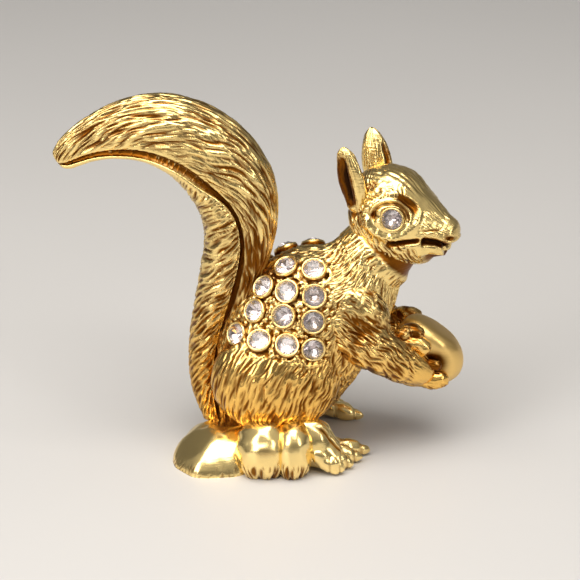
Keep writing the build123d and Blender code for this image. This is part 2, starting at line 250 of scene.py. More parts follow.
def drift(a: Array, b: Array, seed: int) -> Array:
    """Smooth noise: chance at the four corners of each cell, blended by smooth steps.

    Args:
        a: First coordinate, in cells.
        b: Second coordinate, in cells.
        seed: Which noise.

    Returns:
        Values from -1 to 1.
    """
    i, j = np.floor(a), np.floor(b)
    u, v = step(a - i, 0.0, 1.0), step(b - j, 0.0, 1.0)
    low = chance(i, j, seed) * (1 - u) + chance(i + 1, j, seed) * u
    high = chance(i, j + 1, seed) * (1 - u) + chance(i + 1, j + 1, seed) * u
    return 2 * (low * (1 - v) + high * v) - 1


def dents(a: Array, b: Array, cell: tuple[float, float], seed: int) -> Array:
    """Smooth hollows from 0 to 2: one more than drift in cells of the given size."""
    return drift(a / cell[0], b / cell[1], seed) + 1


@dataclass(frozen=True)
class Gouges:
    """Tapered tool strokes in jittered cells: each cell holds one stroke, a bell across and a parabola along.

    Attributes:
        length: Cell length along the fur.
        spacing: Cell width across the fur.
        sway: How far a stroke leans, as a share of spacing per length.
        seed: Which set of strokes.
        jitter: How far a stroke strays from its cell's middle, as a share of the cell.
        half_shares, width_shares, depth_shares: Least half length, width and depth, each with its spread.
        wander: How far the columns of cells wander, in cells.
    """

    length: float
    spacing: float
    sway: float = 0.5
    seed: int = 1
    jitter: float = 0.6
    half_shares: tuple[float, float] = (0.42, 0.40)
    width_shares: tuple[float, float] = (0.15, 0.17)
    depth_shares: tuple[float, float] = (0.55, 0.45)
    wander: float = 0.55

    def cut(self, along: Array, across: Array, slant: Array | float = 0.0) -> Array:
        """Depth share of the strokes at each point: the deepest of the strokes in the nearest cells.

        Args:
            along: Distance along the fur.
            across: Distance across the fur.
            slant: How far the strokes go across for each mm along.

        Returns:
            0 on the smooth hair between the strokes to 1 at a stroke's bottom.
        """
        a, b = along / self.length, across / self.spacing
        b = b + self.wander * drift(a * 1.3, b * 0.3, self.seed + 8)
        column = np.floor(b)
        deepest = np.zeros(np.broadcast(a, b).shape)
        for dj in (-2, -1, 0, 1, 2):
            j = column + dj
            shift = chance(j, np.full_like(j, 7), self.seed)
            row = np.floor(a + shift)
            for di in (-1, 0, 1):
                i = row + di
                luck = [chance(i, j, self.seed + k) for k in range(1, 7)]
                from_middle = a - (i + 0.5 + self.jitter * (luck[0] - 0.5) - shift)
                half = self.half_shares[0] + self.half_shares[1] * luck[2]
                width = self.width_shares[0] + self.width_shares[1] * luck[3]
                lean = self.sway * (luck[4] - 0.5) + slant * self.length / self.spacing
                da = from_middle / half
                db = b - (j + 0.5 + self.jitter * (luck[1] - 0.5)) - lean * from_middle
                db = db / (width * (1.15 - 0.35 * da))
                stroke = np.clip(1 - da * da, 0, 1) * np.exp(-np.abs(db) ** 1.6)
                depth = self.depth_shares[0] + self.depth_shares[1] * luck[5]
                deepest = np.maximum(deepest, stroke * depth)
        return deepest


@dataclass(frozen=True)
class Grains:
    """Cast granules: one round grain in each jittered cell.

    Attributes:
        size: Cell size.
        seed: Which set of grains.
        jitter: How far a grain strays from its cell's middle, as a share of the cell.
        steep: How steeply a grain falls off with the squared distance.
    """

    size: float
    seed: int = 1
    jitter: float = 0.8
    steep: float = 1.6

    def rise(self, along: Array, across: Array) -> Array:
        """Height share of the grains: one less the squared distance to the nearest grain's middle, or 0.

        Args:
            along: First coordinate.
            across: Second coordinate.

        Returns:
            0 between the grains to 1 on their tops.
        """
        a, b = along / self.size, across / self.size
        near = np.full(np.broadcast(a, b).shape, 9.0)
        for dj in (-1, 0, 1):
            for di in (-1, 0, 1):
                i, j = np.floor(a) + di, np.floor(b) + dj
                from_a = a - (i + 0.5 + self.jitter * (chance(i, j, self.seed) - 0.5))
                from_b = b - (j + 0.5 + self.jitter * (chance(i, j, self.seed + 1) - 0.5))
                near = np.minimum(near, from_a**2 + from_b**2)
        return np.clip(1 - near * self.steep, 0, 1)


# Surfaces


@dataclass
class Shell:
    """A closed surface on a grid of rows along a spine and points around it.

    Attributes:
        points: Places in mm, shape (rows, around, 3).
        groove: Painted shade at each point, mostly where the carving is deep, which also dulls the finish,
            shape (rows, around).
        comb: Distance along and across the fur at each point, shape (rows, around, 2).
        ring: Whether the last row joins the first, as on a ring, instead of both ends being closed by caps.
    """

    points: Array
    groove: Array
    comb: Array | None = None
    ring: bool = False

    def combed(self) -> Array:
        """The combing field, or one read from the side of the figure where none was given."""
        return self.points[..., ::2] if self.comb is None else self.comb

    def normals(self) -> Array:
        """Outward unit normals: the cross product of the steps around and along the grid.

        Returns:
            The normals, shape (rows, around, 3).
        """
        along = np.gradient(self.points, axis=0)
        onward = np.roll(self.points, -1, 1) - np.roll(self.points, 1, 1)
        n = np.cross(onward, along)
        return n / np.maximum(np.linalg.norm(n, axis=-1, keepdims=True), 1e-12)

    def carved(self, depth: Array) -> "Shell":
        """The same shell with every point moved inwards along its normal by a depth in mm."""
        return replace(self, points=self.points - self.normals() * depth[..., None])

    def mirrored(self) -> "Shell":
        """The shell on the figure's other side, its points taken round the other way so that it faces out."""
        points = (self.points * np.array([1.0, -1.0, 1.0]))[:, ::-1]
        return Shell(points, self.groove[:, ::-1], self.combed()[:, ::-1])

    def grounded(self) -> "Shell":
        """The shell with what lies below the ground flattened onto it."""
        return replace(self, points=np.maximum(self.points, [-np.inf, -np.inf, 0.0]))

    def listed(self, values: Array) -> Array:
        """Values on the grid as one list, and then their means over the end rows where caps close these.

        Args:
            values: Values on the grid, shape (rows, around, ...).

        Returns:
            One value for each corner of the mesh.
        """
        flat = values.reshape(-1, *values.shape[2:])
        return flat if self.ring else np.concatenate([flat, values[[0, -1]].mean(1)])

    def faces(self, base: int) -> list[list[int]]:
        """Quads of the grid, and a fan of triangles from each cap's middle to its end row.

        Args:
            base: Number of the shell's first corner in the mesh.

        Returns:
            Corner numbers of each face.
        """
        rows, count, _ = self.points.shape
        i, j = np.meshgrid(np.arange(rows if self.ring else rows - 1), np.arange(count), indexing="ij")
        k, n = (j + 1) % count, (i + 1) % rows
        quads = np.stack([i * count + j, i * count + k, n * count + k, n * count + j], -1).reshape(-1, 4)
        made = (base + quads).tolist()
        if not self.ring:
            rim = np.arange(count)
            after = (rim + 1) % count
            last = (rows - 1) * count
            first_cap = np.stack([after, rim, np.full(count, rows * count)], -1)
            last_cap = np.stack([last + rim, last + after, np.full(count, rows * count + 1)], -1)
            made += (base + first_cap).tolist() + (base + last_cap).tolist()
        return made


@dataclass(frozen=True)
class Placing:
    """A frame that a piece is drawn in: an origin and three axes as rows."""

    origin: Array
    axes: Array

    def out(self, points: Array) -> Array:
        """Places in the figure's frame: origin plus the local coordinates times the axes."""
        return self.origin + points @ self.axes


def turned(origin: Triple, degrees: float) -> Placing:
    """A frame turned about Z."""
    c, s = cos_sin(degrees)
    return Placing(np.array(origin, float), np.array([[c, s, 0.0], [-s, c, 0.0], [0.0, 0.0, 1.0]]))


def pressed(points: Array, way: Array, height: float, soft: float) -> Array:
    """Brings what stands out past a plane back to it: a move of half the overshoot and its softened size.

    Args:
        points: Points.
        way: The plane's outward normal.
        height: Its distance from the origin along that normal.
        soft: How widely the new flat is rounded into the rest.

    Returns:
        The moved points.
    """
    over = points @ way - height
    return points - way * (np.hypot(over, soft) + over)[..., None] / 2


def egg_shell(centre: Triple, radii: Triple, rows: int, count: int) -> Shell:
    """An egg: rows of circles whose radius is the sine of the latitude, scaled by three radii, poles along X.

    Args:
        centre: Middle.
        radii: Half sizes along X, Y and Z.
        rows: Rows from pole to pole.
        count: Points around.

    Returns:
        The shell.
    """
    lat = np.linspace(POLE, np.pi - POLE, rows)[:, None]
    turn = around(count)
    ball = np.stack([-np.cos(lat) + 0 * turn, np.sin(lat) * np.cos(turn), np.sin(lat) * np.sin(turn)], -1)
    return Shell(np.array(centre) + ball * np.array(radii), np.zeros((rows, count)))


def swept_shell(path: Array, radii: Array, side_way: Array, rows: int, count: int) -> Shell:
    """A tube with round ends along a smooth path: ellipses square to the path.

    Args:
        path: Points that the path goes through, shape (K, 3).
        radii: Half sizes at them, sideways and upwards, shape (K, 2).
        side_way: Roughly sideways direction of the sections.
        rows: Rows along.
        count: Points around.

    Returns:
        The shell.
    """
    knots = run_of(path)
    at = close_at_ends(0.0, knots[-1], rows, 0.0)
    spine = curve_through(knots, path, at)
    size = round_ended(knots, radii, at, 1e-6)[:, None]
    side, up = square_axes(spine, side_way)
    points = spine[:, None] + rays(around(count), side[:, None] * size[..., :1], up[:, None] * size[..., 1:])
    return Shell(points, np.zeros((rows, count)))


# Shader graph


class Wire:
    """A shader socket that takes part in Python expressions; each operator adds a Math node."""

    def __init__(self, graph: "Graph", socket: bpy.types.NodeSocket) -> None:
        """Keeps the graph and the socket."""
        self.graph = graph
        self.socket = socket

    def _math(self, operation: str, first: object, second: object) -> "Wire":
        """A Math node on two values or wires."""
        return self.graph.node("ShaderNodeMath", {"operation": operation}, {0: first, 1: second})

    def __add__(self, other: object) -> "Wire":
        """Sum."""
        return self._math("ADD", self, other)

    __radd__ = __add__

    def __sub__(self, other: object) -> "Wire":
        """Difference."""
        return self._math("SUBTRACT", self, other)

    def __rsub__(self, other: object) -> "Wire":
        """Difference with the wire on the right."""
        return self._math("SUBTRACT", other, self)

    def __mul__(self, other: object) -> "Wire":
        """Product."""
        return self._math("MULTIPLY", self, other)

    __rmul__ = __mul__


class Graph:
    """A node tree that is filled node by node."""

    def __init__(self, tree: bpy.types.NodeTree) -> None:
        """Starts from an empty tree."""
        self.tree = tree
        tree.nodes.clear()

    def node(
        self, kind: str, settings: dict | None = None, sockets: dict | None = None, out: int | str = 0
    ) -> Wire:
        """Adds any node.

        Args:
            kind: Blender's node type.
            settings: Attributes set first; "stops" gives a ramp's positions and colours.
            sockets: Input name or index to a value or wire.
            out: Which output the returned wire has.

        Returns:
            The output as a wire, or the first input of a node without outputs.
        """
        made = self.tree.nodes.new(kind)
        for name, value in (settings or {}).items():
            if name == "stops":
                ramp = made.color_ramp
                while len(ramp.elements) < len(value):
                    ramp.elements.new(1.0)
                for element, (place, colour) in zip(ramp.elements, value):
                    element.position, element.color = place, (*colour, 1.0)
            else:
                setattr(made, name, value)
        for name, value in (sockets or {}).items():
            if isinstance(value, Wire):
                self.tree.links.new(value.socket, made.inputs[name])
            else:
                made.inputs[name].default_value = value
        return Wire(self, made.outputs[out] if made.outputs else made.inputs[0])

    def place(self) -> Wire:
        """Object coordinates, in metres."""
        return self.node("ShaderNodeTexCoord", out="Object")

    def noise(self, place: Wire, scale: float, detail: float) -> Wire:
        """A noise from 0 to 1 at places."""
        return self.node("ShaderNodeTexNoise", None, {"Vector": place, "Scale": scale, "Detail": detail})

    def share(self, value: Wire, low: float, high: float, kind: str = "SMOOTHSTEP") -> Wire:
        """Where a value lies between two others, from 0 to 1."""
        sockets = {"Value": value, "From Min": low, "From Max": high}
        return self.node("ShaderNodeMapRange", {"interpolation_type": kind}, sockets)

    def blend(self, share: object, low: object, high: object) -> Wire:
        """A Mix node on two colours, which are wires or three numbers."""
        low, high = ((*c, 1.0) if isinstance(c, tuple) else c for c in (low, high))
        return self.node("ShaderNodeMix", {"data_type": "RGBA"}, {0: share, 6: low, 7: high}, 2)

    def surface(self, sockets: dict) -> None:
        """Ends a material's tree in one Principled shader with the given sockets."""
        shader = self.node("ShaderNodeBsdfPrincipled", None, sockets)
        self.node("ShaderNodeOutputMaterial", None, {"Surface": shader})


def new_material(name: str) -> tuple[Material, Graph]:
    """An empty node material.

    Args:
        name: Its name.

    Returns:
        The material and its graph.
    """
    material = bpy.data.materials.new(name)
    material.use_nodes = True
    return material, Graph(material.node_tree)


@dataclass(frozen=True)
class Gold:
    """Gold plate with painted shade in its hollows, which are also duller than its polished high spots.

    Attributes:
        name: Material name.
        high: Colour of the high spots.
        low: Painted shade colour of the hollows.
        painted_reflection: Colour of the high spots low on the figure, a painted reflection of gold in gold.
        gloss: Roughness of the high spots.
        dull: Roughness of the hollows.
        hair: Height of the fine combed hairs.
        wave: Height of the slow unevenness of the casting.
        pit: Painted shadow colour of deep pits, where the painted shade goes past 1.
        painted_reflection_rise: Heights between which the painted reflection gives way, metres.
        hairs_per_mm: Noise cells of the hairs along, across and out of the comb.
    """

    name: str
    high: Triple
    low: Triple
    painted_reflection: Triple
    gloss: float
    dull: float
    hair: float
    wave: float
    pit: Triple = (0.030, 0.011, 0.004)
    painted_reflection_rise: tuple[float, float] = (0.008, 0.030)
    hairs_per_mm: Triple = (0.55, 3.2, 1.0)

    def material(self) -> Material:
        """Builds the plate: painted shade and noise drive colour and roughness, noise drawn along the comb
        the bump.

        Returns:
            The material.
        """
        material, g = new_material(self.name)
        groove = g.node("ShaderNodeAttribute", {"attribute_name": "groove"}, None, "Fac")
        comb = g.node("ShaderNodeAttribute", {"attribute_name": "comb"}, None, "Vector")
        drawn = g.node("ShaderNodeVectorMath", {"operation": "MULTIPLY"}, {0: comb, 1: self.hairs_per_mm})
        place = g.place()
        cloud, slow, hairs = g.noise(place, 170.0, 2.0), g.noise(place, 420.0, 1.0), g.noise(drawn, 1.0, 2.0)
        height = g.node("ShaderNodeSeparateXYZ", None, {"Vector": place}, "Z")
        # Painted shade: the plate darkens towards the low colour in the hollows and along the fine hairs; the
        # cloud noise is random tone
        hollow = g.share(groove + (cloud - 0.5) * 0.35 + (hairs - 0.5) * (8.0 * self.hair), 0.05, 0.66)
        # Painted reflection: the high spots low on the figure take the colour of gold mirrored in gold
        plate = g.blend(hollow, g.blend(g.share(height, *self.painted_reflection_rise), self.painted_reflection, self.high), self.low)
        relief = {"Strength": 1.0, "Distance": MM, "Height": hairs * self.hair + slow * self.wave}
        g.surface({
            # Painted shadow: past 1 the painted shade darkens on to the deep pits' colour
            "Base Color": g.blend(g.share(groove, 1.0, 1.6, "LINEAR"), plate, self.pit),
            "Metallic": 1.0,
            "Roughness": groove * (self.dull - self.gloss) + self.gloss + (cloud - 0.5) * 0.1,
            "Normal": g.node("ShaderNodeBump", None, relief),
        })
        return material


@dataclass(frozen=True)
class StoneGlass:
    """Clear cut glass of a stone's crown: its tints, facets' roughness and index of refraction."""

    name: str = "stone_glass"
    tints: tuple[Triple, Triple] = ((0.90, 0.87, 0.90), (1.0, 0.98, 1.0))
    roughness: float = 0.01
    bending: float = 1.56

    def material(self) -> Material:
        """Builds a clear glass, a little uneven in tint.

        Returns:
            The material.
        """
        material, g = new_material(self.name)
        g.surface({
            "Base Color": g.blend(g.noise(g.place(), 700.0, 1.0), *self.tints),
            "Roughness": self.roughness,
            "IOR": self.bending,
            "Transmission Weight": 1.0,
        })
        return material


@dataclass(frozen=True)
class StoneFoil:
    """Bright foil behind a stone, with its darkest and its lightest colour."""

    name: str = "stone_foil"
    tints: tuple[Triple, Triple] = ((0.70, 0.64, 0.64), (1.0, 0.95, 0.92))

    def material(self) -> Material:
        """Builds a silver mirror, a little uneven in colour and polish.

        Returns:
            The material.
        """
        material, g = new_material(self.name)
        cloud = g.noise(g.place(), 900.0, 1.0)
        g.surface({
            "Base Color": g.blend(cloud, *self.tints), "Metallic": 1.0, "Roughness": cloud * 0.14 + 0.12,
        })
        return material


FUR_GOLD = Gold(
    "fur_gold", high=(1.0, 0.75, 0.30), low=(0.19, 0.062, 0.005), painted_reflection=(0.96, 0.56, 0.13),
    gloss=0.19, dull=0.44, hair=0.06, wave=0.03,
)
SMOOTH_GOLD = Gold(
    "smooth_gold", high=(1.0, 0.76, 0.32), low=(0.24, 0.09, 0.008), painted_reflection=(1.0, 0.76, 0.32),
    gloss=0.23, dull=0.40, hair=0.014, wave=0.14,
)
SATIN_GOLD = Gold(
    "satin_gold", high=(0.88, 0.62, 0.24), low=(0.13, 0.045, 0.004), painted_reflection=(0.86, 0.58, 0.20),
    gloss=0.38, dull=0.46, hair=0.012, wave=0.08,
)


# Pieces


def set_piece(
    name: str, mesh: bpy.types.Mesh, materials: list[Material], nodes: tuple[str, ...]
) -> None:
    """Links a mesh as a piece that rides on the figure.

    Args:
        name: The piece's name.
        mesh: Its mesh.
        materials: Its materials, in the order of their numbers on the faces.
        nodes: CAD nodes that it stands for.
    """
    mesh.update()
    piece = bpy.data.objects.new(name, mesh)
    bpy.context.scene.collection.objects.link(piece)
    for material in materials:
        mesh.materials.append(material)
    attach(piece, BODY)
    if nodes:
        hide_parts(*nodes)
    LOG.info("%s: %d faces", name, len(mesh.polygons))


def add_piece(name: str, shells: list[Shell], material: Material, slot: Slot, *nodes: str) -> None:
    """Makes one mesh of closed shells, with their painted shade and comb as attributes, and puts it on the
    figure.

    Args:
        name: The piece's name.
        shells: Its surfaces.
        material: Its finish.
        slot: Material slot of the record; not used.
        nodes: CAD nodes that it stands for.
    """
    corners, groove, comb, faces, base = [], [], [], [], 0
    for shell in shells:
        corners.append(shell.listed(shell.points))
        groove.append(shell.listed(shell.groove))
        comb.append(shell.listed(shell.combed()))
        faces += shell.faces(base)
        base += len(corners[-1])
    mesh = bpy.data.meshes.new(name)
    mesh.from_pydata((np.concatenate(corners) * MM).tolist(), [], faces)
    mesh.polygons.foreach_set("use_smooth", np.ones(len(faces), bool))
    mesh.attributes.new("groove", "FLOAT", "POINT").data.foreach_set("value", np.concatenate(groove))
    flow = np.pad(np.concatenate(comb), ((0, 0), (0, 1))).astype(np.float32)
    mesh.attributes.new("comb", "FLOAT_VECTOR", "POINT").data.foreach_set("vector", flow.ravel())
    set_piece(name, mesh, [material], nodes)


@dataclass(frozen=True)
class Seat:
    """Where a stone sits: the middle of its girdle's top and the way it faces."""

    centre: Array
    axis: Array

    def reach(self, points: Array) -> tuple[Array, Array]:
        """How far points lie from the stone's axis and over its girdle.

        Args:
            points: Places.

        Returns:
            Distance from the axis and height over the girdle.
        """
        rel = points - self.centre
        height = rel @ self.axis
        return np.linalg.norm(rel - height[..., None] * self.axis, axis=-1), height

    def sides(self) -> tuple[Array, Array]:
        """Two directions square to the axis: a level one, and one up the slope."""
        level = unit(np.cross(UPRIGHT, self.axis))
        return level, np.cross(self.axis, level)


def seat_of(
    node: str, crown_share: float = 0.5 / 1.7, end_band: float = 0.05, rim_band: float = 0.06
) -> Seat:
    """Reads a stone's seat from its CAD node: the axis is the direction of least spread, from culet to table.

    Args:
        node: The stone's node.
        crown_share: Crown height as a share of the stone's height.
        end_band: How far from an end a corner still belongs to it.
        rim_band: How far from the girdle's top a corner still belongs to it.

    Returns:
        The seat, in mm.
    """
    mesh = frame["nodes"][node].data
    places = np.empty(len(mesh.vertices) * 3, np.float32)
    mesh.vertices.foreach_get("co", places)
    places = np.unique(np.round(places.reshape(-1, 3).astype(float) / MM, 4), axis=0)
    rel = places - (places.min(0) + places.max(0)) / 2
    axis = np.linalg.eigh(np.cov((places - places.mean(0)).T))[1][:, 0]
    height = rel @ axis
    radius = np.linalg.norm(rel - height[:, None] * axis, axis=1)
    upper, lower = height > height.max() - end_band, height < height.min() + end_band
    if radius[upper].mean() < radius[lower].mean():
        axis, height = -axis, -height
    top = height.max() - crown_share * (height.max() - height.min())
    return Seat(places[np.abs(height - top) < rim_band].mean(0), axis)


@dataclass
class Stones:
    """Round cut stones with a flat table, eight stars and mains on the crown, and a foiled back.

    Attributes:
        diameter: Girdle.
        table: Table diameter.
        crown: Crown height.
        girdle: Girdle height.
        back: Depth of the back.
        star_shares: Radius and height of the stars' outer corners, as shares of girdle radius and crown.
        back_shares: Radius and depth of the back's inner corners, as shares of girdle radius and back.
        turn: How far each stone is turned about its axis past the one before it, radians.
    """

    diameter: float = 3.0
    table: float = 1.75
    crown: float = 0.5
    girdle: float = 0.12
    back: float = 1.05
    star_shares: tuple[float, float] = (0.80, 0.60)
    back_shares: tuple[float, float] = (0.42, 0.62)
    turn: float = 0.61

    def ring(self, count: int, radius: float, height: float, shift: float = 0.0) -> Array:
        """Evenly spaced corners on a circle about the stone's axis, shifted by a share of their spacing."""
        turn = (np.arange(count) + shift) * 2 * np.pi / count
        return np.stack([radius * np.cos(turn), radius * np.sin(turn), np.full(count, height)], -1)

    def cut(self) -> tuple[Array, list[list[int]], Array]:
        """Corners and facets of one stone about its girdle's top: rings of 8, 8, 16, 16 and 8, and a culet.

        Returns:
            Corners in mm, facets as corner numbers, and 1 for each foiled facet.
        """
        r = self.diameter / 2
        corners = np.concatenate([
            self.ring(8, self.table / 2, self.crown),
            self.ring(8, self.star_shares[0] * r, self.star_shares[1] * self.crown, 0.5),
            self.ring(16, r, 0.0),
            self.ring(16, r, -self.girdle),
            self.ring(8, self.back_shares[0] * r, -self.girdle - self.back_shares[1] * self.back, 0.5),
            [[0.0, 0.0, -self.girdle - self.back]],
        ])
        culet = len(corners) - 1
        flat, star, inner = np.arange(8), 8 + np.arange(8), 48 + np.arange(8)
        rim, under = 16 + np.arange(16), 32 + np.arange(16)
        rim_0, rim_1, rim_2 = rim[::2], rim[1::2], np.roll(rim[::2], -1)
        under_0, under_1, under_2 = under[::2], under[1::2], np.roll(under[::2], -1)
        crown = [
            flat[None],
            np.stack([flat, star, np.roll(flat, -1)], -1),
            np.stack([flat, np.roll(star, 1), rim_0, star], -1),
            np.stack([star, rim_0, rim_1], -1),
            np.stack([star, rim_1, rim_2], -1),
        ]
        back = [
            np.stack([rim, under, np.roll(under, -1), np.roll(rim, -1)], -1),
            np.stack([under_1, under_0, inner], -1),
            np.stack([under_2, under_1, inner], -1),
            np.stack([inner, under_0, np.roll(inner, 1), np.full(8, culet)], -1),
        ]
        facets = [facet for group in crown + back for facet in group.tolist()]
        foiled = np.arange(len(facets)) >= sum(len(group) for group in crown)
        return corners, facets, foiled.astype(int)

    def build(self, seats: dict[str, Seat]) -> None:
        """Makes each stone at its seat.

        Args:
            seats: Node names and seats.
        """
        corners, facets, foiled = self.cut()
        finishes = [StoneGlass().material(), StoneFoil().material()]
        for number, (node, seat) in enumerate(seats.items()):
            first = rays(np.array(number * self.turn), *seat.sides())
            axes = np.stack([first, np.cross(seat.axis, first), seat.axis])
            mesh = bpy.data.meshes.new(node + "_cut")
            mesh.from_pydata(((seat.centre + corners @ axes) * MM).tolist(), [], facets)
            mesh.polygons.foreach_set("material_index", foiled)
            set_piece(node + "_cut", mesh, finishes, (node,))


@dataclass(frozen=True)
class Setting:
    """What holds a stone: a raised ring on the skin and a pocket sunk into it.

    Attributes:
        outline: Closed outline of the ring: distance from the axis and height over the girdle.
        count: Points around the ring.
        depth: Floor of the pocket under the girdle.
        inner: Distance from the axis at which the floor starts to rise.
        outer: Distance from the axis at which the pocket ends.
        brim: Where the floor ends under the girdle.
        nearby: Height over or under the girdle within which the skin is sunk.
    """

    outline: tuple[tuple[float, float], ...]
    count: int
    depth: float
    inner: float
    outer: float
    brim: float = 0.3
    nearby: float = 2.0

    def rings(self, seats: list[Seat]) -> list[Shell]:
        """The outline turned about each stone's axis, with painted shade that deepens the lower it is under
        its rim.

        Args:
            seats: The stones' seats.

        Returns:
            One shell for each seat, its tube closed on itself.
        """
        away, height = np.array(self.outline)[::-1].T[..., None]
        # Painted shade under each rim, deeper the lower a point lies
        dark = np.clip(1.5 * (height.max() - 0.08 - height[:, 0]), 0, 0.8) + np.zeros((self.count, len(away)))
        made = []
        for seat in seats:
            way = rays(around(self.count)[0], *seat.sides())[:, None]
            made.append(Shell(seat.centre + way * away + seat.axis * height, dark, None, True))
        return made

    def sunk(self, points: Array, seats: list[Seat]) -> Array:
        """Points taken back along each stone's axis to its pocket's floor, where they stand in front of it.

        Args:
            points: Places on the skin.
            seats: The stones' seats.

        Returns:
            The moved points.
        """
        for seat in seats:
            away, height = seat.reach(points)
            floor = -self.depth + (self.depth - self.brim) * step(away, self.inner, self.outer)
            inside = (away < self.outer) & (np.abs(height) < self.nearby)
            points = points + seat.axis * np.where(inside, np.minimum(0.0, floor - height), 0.0)[..., None]
        return points


@dataclass(frozen=True)
class Lock:
    """A main cut of the fur, as the CAD has it: an egg-shaped hollow sunk half out of the skin.

    Attributes:
        centre: Middle of the egg.
        axes: Directions along, across and out of the skin, as rows.
        radii: Half sizes along them.
    """

    centre: Array
    axes: Array
    radii: Triple = (3.0, 0.6, 1.0)

    def sink(self, points: Array) -> Array:
        """How far points lie over the egg's lower half, measured straight out of the skin.

        Args:
            points: Places.

        Returns:
            Depth to cut, 0 outside the egg.
        """
        along, across, out = np.moveaxis((points - self.centre) @ self.axes.T / np.array(self.radii), -1, 0)
        under = 1 - along**2 - across**2
        deep = np.maximum(out + np.sqrt(np.maximum(under, 0.0)), 0.0)
        return np.where((under > 0) & (np.abs(out) < 1.2), deep, 0.0) * self.radii[2]


def lock_at(point: Array, out: Array, ahead: Array, slant: float = 0.0, lift: float = 0.5) -> Lock:
    """A main cut at a point of the skin.

    Args:
        point: Place on the skin.
        out: Outward direction.
        ahead: Direction of the cut before it is slanted, square to it.
        slant: Turn about the outward direction, degrees.
        lift: How far the egg's middle lies out of the skin.

    Returns:
        The cut.
    """
    out, ahead = unit(out), unit(ahead)
    along = rays(np.array(math.radians(slant)), ahead, np.cross(out, ahead))
    return Lock(point + lift * out, np.stack([along, np.cross(out, along), out]))


def deepest_cut(locks: list[Lock], points: Array) -> Array:
    """Depth of the deepest main cut at each point."""
    return np.max([lock.sink(points) for lock in locks], axis=0)


